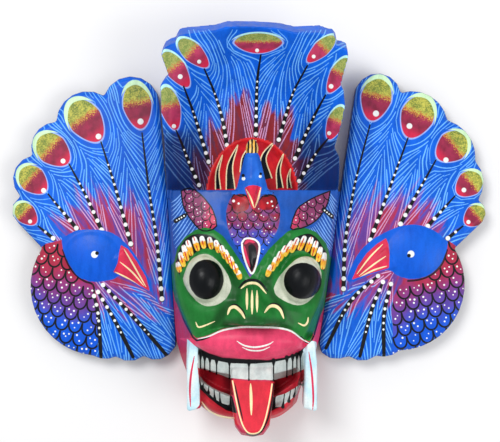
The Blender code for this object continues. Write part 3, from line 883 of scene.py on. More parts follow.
def wingMaterial(name):
    tree = Tree(name)
    colour, line = featherColour(tree, paints["wingEye"], paints["crimson"], paints["purple"],
                                 (paints["olive"], paints["yellow"]), paints["rimCream"], 0.22)
    wobble = tree.unsteady(300, 0.8)
    fall = tree.plus(tree.value("fall"), tree.unsteady(90, 30.0, 2))
    scales = tree.mix(tree.ramp(fall, 16, 46), paints["wingScaleRed"], paints["purple"])
    scales = tree.mix(tree.ramp(fall, 42, 72), scales, paints["wingScaleBlue"])
    scales = tree.mix(tree.onStroke("scaleLine", 0.2), scales, paints["black"])
    black = tree.onStroke("blackLine", 0.2)
    colour = tree.mix(black, colour, paints["black"])
    body = tree.inArea("scaleArea", wobble)
    colour = tree.mix(body, colour, scales)
    colour = tree.mix(tree.times(black, body), colour, paints["black"])
    head = tree.inArea("birdHead", wobble)
    colour = tree.mix(head, colour, tree.cloudy("wingBird"))
    beak = tree.inArea("beakArea", wobble)
    colour = tree.mix(beak, colour, tree.cloudy("wingBeak"))
    cream = tree.times(tree.onStroke("creamLine"), beak)
    colour = tree.mix(cream, colour, paints["cream"])
    dots = tree.times(tree.onStroke("whiteDot", 0.15), tree.minus(1.0, head))
    colour = tree.mix(dots, colour, paints["white"])
    colour = tree.mix(tree.onStroke("birdEye", 0.12), colour, paints["white"])
    colour = tree.mix(tree.onStroke("birdPupil", 0.12), colour, paints["black"])
    # The steep side walls go night blue: partly the boards' plain dark side paint, partly painted shade in
    # the gaps beside the head.
    rim = tree.ramp(tree.value("rim"), 0.35, 0.75, 0.0, 0.8)
    colour = tree.mix(rim, colour, paints["nightBlue"])
    raised = tree.most(tree.times(line, 0.4), tree.most(dots, cream))
    return tree.finish(colour, raised)


def woodMaterial():
    tree = Tree("bareBack")
    rings = tree.noise(55, 4, (1, 0.12, 1))
    fine = tree.noise(520, 3, (1, 0.08, 1))
    colour = tree.mix(tree.ramp(rings, 0.35, 0.65), paints["woodLight"], paints["woodDark"])
    colour = tree.mix(tree.times(tree.ramp(fine, 0.4, 0.7), 0.5), colour, paints["woodGrain"])
    return tree.finish(colour, fine, rough=0.62, coat=0.0, bumpSize=0.0002)


backWood = woodMaterial()


# The back's faces take the bare wood.
def backSlot(piece):
    piece.data.materials.append(backWood)
    surface = Surface(piece)
    index = np.zeros(len(surface.centre), np.int32)
    index[surface.normal[:, 2] < -0.6] = len(piece.data.materials) - 1
    piece.data.polygons.foreach_set("material_index", index)


wingShaping = dict(grain=0.0008, softening=3)
headShaping = dict(grain=0.00105, softening=2)

print("wing boards")
leftWing = finerCopy("left_wing", "left_wing_painted", **wingShaping)
leftWing.data.materials.append(wingMaterial("leftWingPaint"))
paintWing(leftWing, leftFeathers, leftRoots, leftBird, 3)
backSlot(leftWing)
rightWing = finerCopy("right_wing", "right_wing_painted", **wingShaping)
rightWing.data.materials.append(wingMaterial("rightWingPaint"))
paintWing(rightWing, rightFeathers, rightRoots, rightBird, 5)
backSlot(rightWing)

print("head")
head = finerCopy("mask_head", "mask_head_painted", **headShaping)

fanFeathers = [
    dict(eye=(170.4, 108.4), size=(10, 22), axis=-14.5, dot=(173.8, 126.2, 2.1), glow=-10,
         quill=[(176.1, 130.5), (182.1, 144.6), (188.8, 162), (199.5, 186)]),
    dict(eye=(176, 69.5), size=(10, 21), axis=-36, dot=(180.1, 76.6, 2.4), glow=40,
         quill=[(183.5, 86.3), (194.2, 115.1), (208.9, 162.7)]),
    dict(eye=(193.5, 53.2), size=(9.5, 19.5), axis=-47, dot=(199.1, 61.6, 2.0), glow=20,
         quill=[(204.2, 68.9), (214.3, 92.4), (222.3, 119.1), (227, 146)]),
    dict(eye=(258.2, 43.2), size=(24, 10), axis=0, dot=(257, 50.4, 1.9), glow=0,
         quill=[(260.8, 54.9), (257.1, 83), (255.8, 135.2)]),
    dict(eye=(321, 49), size=(7.8, 18.5), axis=47, dot=(313.6, 56.5, 1.9), glow=-30,
         quill=[(307.3, 65.6), (293.2, 92.4), (285.2, 117.8), (278.5, 140.6)]),
    dict(eye=(338, 75.3), size=(8.6, 19.5), axis=29, dot=(331, 86.3, 2.3), glow=-20,
         quill=[(325.4, 95), (313.3, 117.8), (294.6, 159.3)]),
    dict(eye=(335.2, 123), size=(8.4, 17.5), axis=22, dot=(329.1, 133.2, 2.0), glow=-20,
         quill=[(328, 138.5), (314.7, 155.3), (298.6, 182)]),
]
domeLeaves = [
    [(218, 189), (217.5, 172), (222.3, 155.3), 2.6], [(230.5, 189), (230, 166), (237.7, 145.2), 4.4],
    [(243.5, 172), (245, 156), (255.8, 140.6), 3.6], [(267.5, 179), (263.5, 158), (274.5, 141.2), 4.4],
    [(280, 188), (278.5, 170), (283.4, 154), 3.1], [(289.5, 188), (288.5, 178), (290.6, 169), 2.1],
]
# Painted shade darkens the fan's low sides, deep behind the forehead: its middle, start and width across,
# then its top and depth.
fan = dict(quillHalf=2.3, quillDots=(0.32, 1.0, 0.9, 2.1, 7.4), shadeSide=(252, 30, 22), shadeTop=(96, 60))
fanBarbs = dict(step=4.2, gap=2.0, slope=0.5, reach=40, length=150, under=45, half=0.58, top=29)
fanFade = [(196, 190), (190, 165), (195.5, 148), (201, 160), (206, 150), (207, 128), (209.5, 117),
           (214, 130), (220, 128), (226, 118), (231, 100), (233.5, 95), (237, 104), (241, 96), (245, 92),
           (249, 104), (252, 118), (256, 128), (260, 120), (264, 108), (269, 103), (272, 112), (277, 120),
           (284, 112), (291, 106), (293, 120), (290, 138), (296, 142), (304, 146), (302, 158), (310, 158),
           (312, 166), (304, 178), (308, 190)]
face = dict(
    green=[(168, 268), (174, 262), (177, 248), (185, 237), (195, 230), (205, 227.5), (213, 229),
           (223, 236), (233, 250), (243, 265), (250, 278), (258, 265), (268, 250), (279, 239), (288, 231),
           (297, 227.5), (306, 228), (316, 232), (326, 243), (330, 256), (334, 262), (330, 290),
           (323, 310), (318, 321), (310, 342), (301, 338), (291, 330), (278, 327), (241, 326), (222, 329),
           (209, 335), (197, 339), (190, 332), (183, 318), (175, 300)],
    lashTips=[
        [(176, 266), (177.8, 260.7), (180.3, 251.4), (185.4, 242.2), (193.8, 237.1), (203.9, 236.6),
         (214, 239.5), (224.9, 250), (232.5, 261), (239, 273.5)],
        [(268.7, 269.1), (278.8, 254), (286, 246), (293.1, 240.5), (300.7, 237.1), (309.1, 236.3),
         (315.8, 240.5), (320.9, 247.2), (325.9, 254.8)],
    ],
    lashRoots=[
        [(179.3, 275.5), (180.3, 270.8), (184.5, 265.8), (189.6, 257.3), (198, 250.6), (206.4, 248.1),
         (217.3, 251.4), (229.1, 263.2), (235.3, 271.4), (241.8, 281.8)],
        [(264.5, 279.2), (273.7, 268.3), (279, 261), (285, 255.5), (294.8, 250.9), (303.2, 250.4),
         (311.6, 254.8), (317.5, 261.5), (324.2, 271.6)],
    ],
    greenShade=[
        [(229, 268), (238, 281), (243, 288), (236, 302), (228, 310), (220, 322), (212, 326), (219, 312),
         (229, 302), (232, 290), (231, 279)],
        [(271, 270), (263, 282), (268, 292), (276, 304), (285, 312), (292, 322), (284, 308), (276, 300),
         (271, 288)],
        [(222, 322), (240, 320), (254, 316), (268, 320), (284, 322), (290, 328), (254, 325), (224, 328)],
    ],
    shadeSoft=(0.75, 7),
    sideFrom=44,
    # Where the painted shade in the mouth starts from the middle, and how wide it fades.
    mouthShadow=(40, 18),
    lashCount=(13, 11),
    eyeRim=[
        [(182.8, 278.4), (186.2, 268.3), (192, 259), (202.2, 254), (212.3, 256.5), (222.4, 266.6),
         (229.1, 278.4), (230.8, 288.5), (225.8, 298.6), (217.3, 304.5), (207.2, 306.2), (198.8, 302.8),
         (190.4, 294.4), (184.5, 285.1)],
        [(273.7, 288.5), (278, 278.4), (288, 266.6), (298, 258.2), (308.2, 256.5), (316.7, 261.5),
         (320.9, 271.6), (320.9, 281.8), (315.8, 293.5), (306.6, 302.8), (296.5, 305.3), (284.7, 301.1),
         (276.3, 295.2)],
    ],
    ball=[(206.2, 279.4, 17.3, 20.0), (302.6, 280.9, 18.9, 18.2)],
    upperLip=[(178, 338), (197, 338), (209, 335.6), (222.4, 329.7), (240.9, 326.4), (257.7, 326.4),
              (278, 327.2), (291.4, 330.6), (301.5, 338.1), (310, 342.5), (318, 322), (328, 325),
              (318, 347), (309.9, 344), (298.1, 352.9), (284.7, 358), (267.8, 360.4), (244.3, 359.7),
              (222.4, 358), (208.9, 353.8), (198, 348)],
    gum=[(188, 343), (198, 347.4), (208.9, 353.3), (222.4, 357.5), (244.3, 359.2), (267.8, 360),
         (284.7, 357.5), (298.1, 352.4), (309.9, 343.2), (316, 350), (305, 366), (287, 373), (250, 376),
         (217, 370.5), (198, 366)],
    upperTeeth=[(198, 354.1), (203, 356.5), (211, 359.5), (228, 363), (250, 364), (272, 362.5),
                (286, 359.5), (295, 356.5), (304, 352), (304, 369.3), (287.1, 376.4), (273.7, 380.2),
                (247.6, 379.6), (229.1, 377.9), (217.3, 373.7), (204.7, 369.5), (197.5, 368)],
    toothGaps=[(200.5, 355, 368), (204.6, 357, 369.5), (209.8, 358.5, 371.5), (216.5, 360.5, 374),
               (229.3, 361.5, 378.5), (248.8, 362.5, 380), (273.5, 361.5, 380.5), (286.8, 358.5, 377),
               (292.6, 357, 375), (296.8, 355.5, 373), (300.3, 354, 371.5)],
    openings=[
        [(194, 366), (198, 367), (204.7, 368), (217.3, 372), (229, 376), (233, 379), (234, 396),
         (222, 392), (210, 386), (199, 379)],
        [(270, 378), (287, 374), (304, 367), (308, 378), (302, 384), (294, 390), (284, 395.5), (272, 398)],
    ],
    lowGum=[
        [(197, 376), (203, 384), (214, 390), (232, 396), (237, 413), (232, 415.5), (221, 411), (209, 401),
         (200, 390.5)],
        [(308, 378), (303, 384), (294, 390), (284, 395), (271, 398), (268, 413.5), (274, 415.5),
         (285, 412), (295, 404), (305, 392)],
    ],
    lowTeeth=[
        [(199.5, 375.5), (203, 380.5), (208, 385), (217, 390), (230, 395), (229, 405.5), (221, 403),
         (213, 397.5), (206, 390.5), (201, 384.5)],
        [(305, 378.6), (300, 384), (295, 388), (285, 393.7), (275.5, 396.5), (275.5, 407.2), (282, 406.8),
         (290, 400.5), (297, 393.5), (302.5, 387)],
    ],
    lowToothGaps=[
        ((204, 382), (202.5, 386.5)), ((208.8, 385.7), (208.3, 392)), ((214, 388.6), (214.5, 398)),
        ((219.5, 391.5), (220, 402)), ((300, 384), (300.5, 389)), ((295.5, 387.5), (294.5, 395)),
        ((290.5, 390.5), (289, 400)), ((284.5, 394), (283, 405.5)),
    ],
    lowLip=[
        [(197, 385), (200.4, 389.5), (208.8, 397.5), (217.2, 404.5), (225.6, 410), (236, 413.5),
         (240, 426), (232, 424), (217, 421), (206, 413), (199, 405), (197, 395)],
        [(307, 381), (302, 388), (296.2, 395), (289.5, 400.5), (281, 406.5), (272, 410.5), (267, 414),
         (266, 426), (275, 425), (287, 421), (296, 413), (305, 404), (307, 396)],
    ],
    chinGreen=[(269, 421.5), (283.5, 420.5), (281, 427), (268, 429)],
    fangs=[
        [(187, 339), (189.6, 341), (198, 348.5), (197.5, 367), (199.5, 386), (199.5, 405), (196, 409),
         (186.4, 413), (186.6, 409), (186.4, 365)],
        [(303, 349.5), (311.6, 340.7), (316.6, 342), (317.4, 380), (317, 413), (307, 412), (301.5, 405),
         (303.5, 390), (304, 372)],
    ],
    foreheadWings=[
        [(181, 191), (190, 188), (200, 194), (208, 203), (213, 211), (216.5, 226), (207, 231), (199, 229),
         (192, 221), (187, 214), (183, 205)],
        [(330, 191), (322, 194), (311, 199), (303, 204), (296.5, 210), (290.5, 228), (297, 229),
         (306, 226.5), (316, 220.5), (323, 212), (328, 202)],
    ],
    foreheadLines=[
        [(182, 193), (183.5, 205), (190, 217), (199, 226), (206, 230)],
        [(171, 203), (171.5, 221), (173.5, 241), (178, 252), (188, 245)],
        [(330, 193), (328, 204), (321, 217), (314, 226), (307, 229)],
        [(338, 203), (337.5, 222), (335.5, 240), (332, 251), (323, 244)],
    ],
    leafTilt=25,
    leafScales=dict(wide=9.0, tall=8.4, dotSize=0.6, arcHalf=0.6, dotShare=0.6),
    breastScales=dict(wide=10.5, tall=8.2, tilt=0, dotSize=0.6, arcHalf=0.6, dotShare=0.55),
    lobes=[
        [(231, 200), (233.5, 195), (239, 193.5), (246, 196), (249, 202), (248, 209), (240, 212),
         (233, 208)],
        [(259, 201), (262, 197), (268, 194.5), (275, 196.5), (277, 203), (273, 209), (264, 210),
         (259, 207)],
    ],
    lobeDots=[(233.5, 201, 1.4), (238.5, 203.5, 1.1), (267.5, 203, 0.9), (271.5, 201.5, 1.0),
              (272.5, 206, 0.8)],
    breast=[(229, 201), (236, 193), (248, 196), (254, 201), (262, 196), (272, 193), (278, 202),
            (280, 214), (278, 228), (272, 240), (264, 252), (258, 262), (252, 268), (244, 262),
            (238, 250), (231, 238), (227, 224), (226, 212)],
    tear=[(241.8, 243), (244.3, 239.3), (249.3, 238.3), (256.1, 240.5), (259.4, 246.4), (257.7, 258.2),
          (254.4, 270), (251, 273.3), (246, 263.2), (242.6, 251.4)],
    tearHeart=[(248, 246), (252, 244), (256, 248), (256.5, 258), (253, 268), (251, 271), (249.3, 262)],
    beak=[(244.5, 188), (248, 186), (252.7, 185), (257, 185.5), (261.5, 187.5), (259, 198), (255.5, 208),
          (253.5, 210), (250.5, 206), (247.5, 197)],
    nostrils=[
        [(227.4, 314.5), (230, 308.4), (235, 307), (240.9, 312), (244.6, 318.4)],
        [(264.5, 312.5), (269.5, 306.6), (275.4, 306.2), (280.5, 310.4), (283.6, 318.4)],
    ],
    noseLines=[(246.8, 288.5, 309.5), (251.9, 290.5, 314), (256.9, 290.5, 312)],
    tongueFront=[(231, 379.4), (248, 381), (275, 381.6), (274, 392), (270.4, 414.7), (266.2, 426),
                 (260.5, 433.5), (255, 435), (248, 434), (242.5, 427), (237.5, 414), (233, 392)],
)

# Single brush lines: the points, half the width, and how the ends thin out.
faceLines = dict(
    black=[
        ([(176, 300), (183, 318), (190, 332), (196.5, 340.5), (209, 337)], 0.9, "even", 2),
        ([(301, 337), (310.3, 343.5), (318, 321), (326, 292)], 0.9, "even", 2),
        ([(200, 403.5), (207, 412.5), (216, 417.5), (229, 420.3)], 0.9, "even"),
        ([(303, 403.5), (296, 412.8), (288, 418.3), (277, 421)], 0.8, "even"),
        ([(238.5, 288), (245, 281.5), (252, 280), (259.5, 282), (267.5, 291)], 1.5, "thin"),
        ([(234.5, 383), (238.5, 402), (243, 421)], 0.9, "thin"),
        ([(273.8, 384), (272, 400), (268, 418), (262, 430.5), (254.5, 435.5), (247, 434)], 0.9, "even"),
        ([(233.5, 192.5), (240, 196), (247, 195)], 0.8, "thin"),
        ([(261, 196.5), (267.5, 196), (273.7, 192.5)], 0.8, "thin"),
    ],
    cream=[
        ([(201.5, 401.5), (208, 410), (216.5, 415), (227.4, 417.6), (234, 418)], 0.95, "thin"),
        ([(301.5, 401.5), (294.5, 410.5), (287, 415.5), (277, 418.5)], 0.95, "thin"),
        ([(240.9, 288.5), (246, 284.4), (252, 283), (258.5, 284.8), (266.2, 293.5)], 1.3, "thin"),
        ([(195.5, 321.8), (198, 326.9), (203.9, 325.9), (214.8, 321.3)], 0.85, "thin"),
        ([(298.1, 323), (304, 325.5), (307.4, 322.2), (308.2, 317.1)], 1.0, "thin"),
        ([(250.5, 383.6), (251, 398), (251.2, 415)], 1.4, "thin"),
        ([(232.4, 381), (236.5, 402), (241, 421), (246.5, 431.5), (253, 433.8), (260, 431), (265, 420),
          (269.5, 400), (272, 384)], 0.7, "even"),
        ([(246, 189), (251, 199.3), (254, 208)], 0.85, "thin"),
        ([(260.6, 187.8), (258.4, 197.6), (254.6, 208)], 0.9, "thin"),
    ],
    white=[
        ([(197.5, 339), (208.9, 336.3), (222.4, 330.4), (240.9, 327.3), (257.7, 327.3), (278, 328),
          (291.4, 331.4), (301.5, 338.9), (309, 343)], 0.95, "thin", 3),
        ([(236.7, 341.2), (244.3, 345.6), (255, 347.3), (267, 345), (273.7, 341.2)], 0.9, "thin"),
        ([(242, 347.3), (250, 350.4), (261, 350.5), (270, 346.8)], 0.75, "thin"),
    ],
    pink=[
        ([(194.3, 356), (191.3, 372), (189.8, 389), (190.4, 407)], 1.1, "thin"),
        ([(308.8, 352), (311.6, 372), (313.2, 396), (312.6, 410)], 1.1, "thin"),
        ([(244.5, 244), (249, 240.5), (254.5, 242.5)], 1.8, "thin"),
        ([(244, 246), (246, 256), (250, 267)], 1.4, "thin"),
    ],
)


# Lashes stand in a row along the black band under each brow: their tips, then their roots.
def lashRow(tips, roots, count):
    tips, roots = np.array(smoothLine(tips, 8)), np.array(smoothLine(roots, 8))
    middle = (tips + roots) / 2
    steps = np.concatenate([[0], np.cumsum(np.hypot(*np.diff(middle, axis=0).T))])
    lashes = []
    for i in range(count):
        place = int(np.searchsorted(steps, (i + 0.5) / count * steps[-1]))
        a, b = tips[place], roots[place]
        wide = min(2.7, 0.38 * steps[-1] / count)
        way = (b - a) / np.hypot(*(b - a)) * wide
        a, b = a + way * 0.7, b - way * 0.7
        lashes.append(([a, a + (b - a) * 0.3, a + (b - a) * 0.7, b], [wide * 0.85, wide, wide, wide * 0.85]))
    return lashes


def browBand(tips, roots):
    tips, roots = smoothLine(tips, 3), smoothLine(roots, 3)
    out = [a + (a - b) / np.hypot(*(a - b)) * 2.6 for a, b in zip(tips, roots)]
    return out + [b - (a - b) * 0.02 for a, b in zip(tips, roots)][::-1]


# The two edges of one of the dome's black leaves.
def leafSides(root, middle, tip, half):
    line = smoothLine([root, middle, tip], 5)
    sides = []
    for back in (1, -1):
        points = []
        for i, p in enumerate(line):
            way = line[min(i + 1, len(line) - 1)] - line[max(i - 1, 0)]
            n = np.array((-way[1], way[0])) / np.hypot(*way)
            points.append(p + n * back * half * (1 - i / (len(line) - 1)) ** 0.75)
        sides.append(points)
    return sides


def fanStrokes(surface, rng):
    featherLayers(surface, fanFeathers)
    barbs = barbStrokes(fanFeathers, rng, fanBarbs)
    strokeLayer(surface, "barb", barbs, tones=rng.uniform(0.72, 1.0, len(barbs)).tolist())
    black, dots = [], []
    for feather in fanFeathers:
        black.append(stroke(feather["quill"], fan["quillHalf"], "growing"))
        dots += quillDots(feather["quill"], *fan["quillDots"])
        dots.append(feather["dot"])
    surface.keep("fade", np.clip(0.6 - areaDistance(surface.flat, [fanFade]) / 13, 0, 1.1), "POINT")
    # Painted shade on the fan's low sides, deep behind the forehead.
    middle, start, wide = fan["shadeSide"]
    top, deep = fan["shadeTop"]
    recessShade = np.clip((np.abs(surface.flat[:, 0] - middle) - start) / wide, 0, 1)
    recessShade = recessShade * np.clip((surface.flat[:, 1] - top) / deep, 0, 1)
    surface.keep("recessShade", recessShade, "POINT")
    return black, dots


def paintHead(piece):
    rng = np.random.default_rng(11)
    surface = Surface(piece)
    flat = surface.flat
    black, dots = fanStrokes(surface, rng)
    cream, white, leafAreas = [], [], []
    for leaf in domeLeaves:
        sides = leafSides(*leaf)
        leafAreas.append(sides[0] + sides[1][::-1])
        cream += [stroke(side, 0.6, "even", 1) for side in sides]
    areaLayer(surface, "leafArea", leafAreas)
    areaLayer(surface, "greenArea", [face["green"]])
    brows = list(zip(face["lashTips"], face["lashRoots"]))
    areaLayer(surface, "browArea", [browBand(*brow) for brow in brows])
    strokeLayer(surface, "lash", sum((lashRow(*brow, n) for brow, n in zip(brows, face["lashCount"])), []))
    areaLayer(surface, "rimArea", [roundArea(a, 3) for a in face["eyeRim"]])
    ball = np.full(len(flat), 9.0)
    for x, y, wide, high in face["ball"]:
        ball = np.minimum(ball, (np.hypot((flat[:, 0] - x) / wide, (flat[:, 1] - y) / high) - 1) * wide)
    surface.keep("ballArea", ball, "POINT")
    for name, areas in (
        ("lipArea", [face["upperLip"]]),
        ("gumArea", [face["gum"]] + face["lowGum"]),
        ("toothArea", [face["upperTeeth"]] + face["lowTeeth"]),
        ("openArea", face["openings"]),
        ("lowLipArea", face["lowLip"]),
        ("fangArea", face["fangs"]),
        ("leafWing", [roundArea(a, 2) for a in face["foreheadWings"]]),
        ("lobeArea", [roundArea(a, 2) for a in face["lobes"]]),
        ("breastArea", [roundArea(face["breast"], 2)]),
        ("tearArea", [roundArea(face["tear"], 3)]),
        ("tearHeart", [roundArea(face["tearHeart"], 2)]),
        ("beakArea", [face["beak"]]),
        ("chinGreen", [face["chinGreen"]]),
        ("tongueArea", [face["tongueFront"]]),
    ):
        areaLayer(surface, name, areas)
    surface.keep("rim", surface.steep, "POINT")
    inner = np.abs(flat[:, 0] - sketch["middle"][0])
    surface.keep("fromMiddle", inner, "POINT")
    surface.keep("sideWall", np.clip(inner - face["sideFrom"], 0, 1), "POINT")
    # Painted shade in the mouth's opening, darkest toward its middle.
    start, wide = face["mouthShadow"]
    surface.keep("mouthShade", np.clip((start - inner) / wide, 0, 1), "POINT")
    deepest, wide = face["shadeSoft"]
    shade = areaDistance(flat, face["greenShade"])
    surface.keep("greenShade", np.clip(deepest - shade / wide, 0, 1), "POINT")

    for x, top, low in face["toothGaps"]:
        levels = (top - 1.0, top + 1.5, top + 4.5, low - 2, low)
        black.append(([np.array((x, y)) for y in levels], [2.3, 1.5, 0.7, 0.6, 1.0]))
    for a, b in face["lowToothGaps"]:
        a, b = np.array(a), np.array(b)
        black.append(([a, a + (b - a) * 0.6, b, b + (b - a) * 0.12], [0.5, 0.6, 1.4, 1.9]))
    scaleLines = []
    for area in face["foreheadWings"]:
        tilt = face["leafTilt"] if area[0][0] < sketch["middle"][0] else -face["leafTilt"]
        arcs, spots = scaleRows(area, rng, tilt=tilt, **face["leafScales"])
        scaleLines += arcs
        dots += spots
        black.append(stroke(roundArea(area, 2) + [area[0]], 0.7, "even", 1))
    arcs, spots = scaleRows(face["breast"], rng, **face["breastScales"])
    scaleLines += arcs
    tear = [roundArea(face["tear"], 2)]
    dots += [s for s in spots if areaDistance(np.array([s[:2]]), tear + face["lobes"])[0] > 1.5]
    for lobe in face["lobes"]:
        black.append(stroke(roundArea(lobe, 2)[:10], 0.8, "thin", 1))
    dots += face["lobeDots"]
    for line in face["nostrils"]:
        cream.append(stroke(line, 1.6, "thin"))
        black.append(stroke([(x + 0.9, y - 2.3) for x, y in line], 0.9, "thin"))
    for x, top, low in face["noseLines"]:
        cream.append(stroke([(x, top), (x, low)], 1.3, "thin"))
    black += [stroke(*line) for line in faceLines["black"]]
    cream += [stroke(*line) for line in faceLines["cream"]]
    white += [stroke(*line) for line in faceLines["white"]]
    white.append(stroke(roundArea(face["tear"], 3) + [face["tear"][0]], 0.9, "even", 1))
    # Plain dots on the two small dark strips at the forehead's sides.
    for ax, ay, bx, by in ((175.5, 221, 185, 215.3), (323.5, 209.6, 332.5, 216.8)):
        black.append(stroke([(ax, ay), (bx, by)], 2.2, "even"))
        for t in (0.12, 0.38, 0.62, 0.88):
            dots.append((ax + (bx - ax) * t, ay + (by - ay) * t, 0.8))
    lines = []
    for k in (0, 2):
        starts, ends = [smoothLine(line, 4) for line in face["foreheadLines"][k:k + 2]]
        lines += [stroke([a, (a + b) / 2 + np.array((0, 1.0)), b], 0.6, "thin") for a, b in zip(starts, ends)]
    strokeLayer(surface, "paleLine", lines)
    strokeLayer(surface, "pinkLine", [stroke(*line) for line in faceLines["pink"]])
    strokeLayer(surface, "blackLine", black)
    strokeLayer(surface, "scaleLine", scaleLines)
    strokeLayer(surface, "creamLine", cream)
    strokeLayer(surface, "whiteLine", white)
    dotLayer(surface, "whiteDot", dots)
    dotLayer(surface, "birdEye", [(243.4, 178.6, 1.8), (260.2, 176.4, 1.5)])
    dotLayer(surface, "birdPupil", [(243, 175.5, 1.7), (260.6, 173.8, 1.4)])
    return surface


# The small bird's beak lies on both the face's and the bird's own paint.
def beakOver(tree, colour, wobble):
    beak = tree.inArea("beakArea", wobble)
    colour = tree.mix(beak, colour, tree.cloudy("smallBeak"))
    cream = tree.times(tree.onStroke("creamLine"), beak)
    return tree.mix(cream, colour, paints["cream"])


def faceMaterial():
    tree = Tree("facePaint")
    wobble = tree.unsteady(300, 0.7)
    y, z = tree.split(tree.place())[1:]
    front = tree.ramp(tree.value("rim"), 0.86, 0.74)
    black = tree.times(tree.onStroke("blackLine", 0.2), front)
    colour = tree.mix(tree.ramp(y, -0.040, -0.030), tree.cloudy("sidePink"), tree.cloudy("foreheadBlue"))
    colour = tree.mix(tree.onStroke("paleLine", 0.3), colour, paints["foreheadLine"])
    falling = tree.ramp(tree.plus(y, tree.unsteady(150, 0.02)), -0.014, 0.004)
    scales = tree.mix(falling, paints["breastBlue"], tree.cloudy("breastRed"))
    scales = tree.mix(tree.onStroke("scaleLine", 0.25), scales, paints["black"])
    colour = tree.fill(colour, "breastArea", wobble, scales)
    colour = tree.fill(colour, "lobeArea", wobble, tree.cloudy("lobeRed"))
    middle = tree.plus(tree.value("fromMiddle"), tree.unsteady(150, 10.0, 2))
    leafWing = tree.mix(tree.ramp(middle, 52, 38), tree.cloudy("leafPurple"), paints["leafPink"])
    leafWing = tree.mix(tree.onStroke("scaleLine", 0.25), leafWing, paints["black"])
    colour = tree.fill(colour, "leafWing", wobble, leafWing)
    shade = tree.ramp(tree.value("greenShade"), 0.0, 1.0, 0.0, 0.7)
    green = tree.mix(shade, tree.cloudy("faceGreen"), paints["greenShadow"])
    colour = tree.fill(colour, "greenArea", wobble, green)
    plainSide = colour
    colour = tree.fill(colour, "browArea", wobble, paints["black"])
    lash = tree.split(tree.vector("lash"))
    share = tree.plus(lash[2], tree.unsteady(900, 0.5))
    lashTone = tree.mix(tree.ramp(share, 0.35, 0.5), paints["white"], paints["lashGold"])
    lashTone = tree.mix(tree.ramp(share, 0.75, 0.95), lashTone, paints["lashPale"])
    across = tree.calculate("ABSOLUTE", tree.minus(lash[0], 0.1))
    redStreak = tree.times(tree.ramp(across, 0.32, 0.14), tree.ramp(tree.noise(240, 1), 0.4, 0.55))
    lashTone = tree.mix(redStreak, lashTone, paints["lashRed"])
    colour = tree.mix(tree.onStroke("lash", 0.15), colour, lashTone)
    colour = tree.fill(colour, "lipArea", wobble, tree.cloudy("upperLip"))
    # Painted shade: the mouth's opening darkens toward its middle, deep in the recess.
    deep = tree.ramp(tree.value("mouthShade"), 0.3, 1.0, 0.0, 0.75)
    opening = tree.mix(deep, tree.cloudy("mouth"), paints["mouthShadow"])
    colour = tree.fill(colour, "openArea", wobble, opening)
    colour = tree.fill(colour, "gumArea", wobble, paints["black"])
    colour = tree.fill(colour, "toothArea", wobble, tree.cloudy("tooth"), 0.2)
    colour = tree.fill(colour, "lowLipArea", wobble, tree.cloudy("lowLip"))
    chinGreen = tree.times(tree.inArea("chinGreen", wobble), tree.ramp(z, 0.045, 0.042))
    colour = tree.mix(chinGreen, colour, paints["chinGreen"])
    colour = tree.fill(colour, "rimArea", wobble, tree.cloudy("eyeRim"))
    colour = tree.mix(black, colour, paints["black"])
    colour = tree.fill(colour, "ballArea", wobble, paints["eyeBlack"])
    colour = tree.fill(colour, "tearArea", wobble, tree.mix(0.7, paints["crimson"], paints["black"]))
    colour = tree.fill(colour, "fangArea", wobble, tree.cloudy("fang"))
    colour = tree.mix(tree.onStroke("pinkLine"), colour, paints["rosePink"])
    colour = tree.fill(colour, "tearHeart", wobble, paints["black"])
    colour = tree.fill(colour, "tongueArea", wobble, tree.cloudy("tongue"))
    # The tongue's black edge reaches a little past the tongue.
    colour = tree.mix(tree.times(black, tree.inArea("tongueArea", -2.0)), colour, paints["black"])
    cream = tree.onStroke("creamLine")
    colour = tree.mix(cream, colour, paints["cream"])
    white = tree.onStroke("whiteLine")
    colour = tree.mix(white, colour, paints["white"])
    dots = tree.onStroke("whiteDot", 0.15)
    colour = tree.mix(dots, colour, paints["white"])
    # Low on the block's side walls, under the fangs, the paint is plain.
    under = tree.times(tree.ramp(z, 0.0325, 0.0310), tree.ramp(front, 1.0, 0.4))
    under = tree.times(under, tree.value("sideWall"))
    colour = tree.mix(under, colour, plainSide)
    colour = beakOver(tree, colour, wobble)
    raised = tree.most(tree.most(cream, white), dots)
    return tree.finish(colour, raised, rough=0.36, coat=0.06)


def fanMaterial():
    tree = Tree("fanPaint")
    colour, line = featherColour(tree, paints["fanEye"], paints["fanFadeRed"], paints["fanFadePurple"],
                                 (paints["fanOlive"], paints["fanYellow"]), paints["fanCrescent"], 0.15)
    # Painted shade: the fan's low sides, deep behind the forehead, turn night blue with dim barbs, away from
    # the eyes.
    recessShade = tree.ramp(tree.plus(tree.value("recessShade"), tree.unsteady(120, 0.4, 2)), 0.2, 0.9, 0.0, 0.82)
    eye = tree.split(tree.vector("featherEye"))
    reach = tree.plus(tree.times(eye[0], eye[0]), tree.times(eye[1], eye[1]))
    recessShade = tree.times(recessShade, tree.ramp(reach, 1.0, 1.5))
    colour = tree.mix(recessShade, colour, tree.mix(line, paints["nightBlue"], paints["fanShadedLine"]))
    # Painted shade: the fan's steep sides and top edge are darkened to a deeper blue by how steeply they
    # stand.
    rim = tree.ramp(tree.value("rim"), 0.5, 0.85, 0.0, 0.8)
    colour = tree.mix(rim, colour, paints["fanSideShade"])
    colour = tree.mix(tree.onStroke("blackLine", 0.2), colour, paints["black"])
    dots = tree.onStroke("whiteDot", 0.15)
    colour = tree.mix(dots, colour, paints["white"])
    return tree.finish(colour, tree.most(tree.times(line, 0.4), dots))


def domeMaterial():
    tree = Tree("domePaint")
    wobble = tree.unsteady(300, 0.6)
    colour = tree.fill(tree.cloudy("domeRed"), "leafArea", wobble, paints["black"])
    cream = tree.onStroke("creamLine")
    colour = tree.mix(cream, colour, paints["cream"])
    return tree.finish(colour, cream)


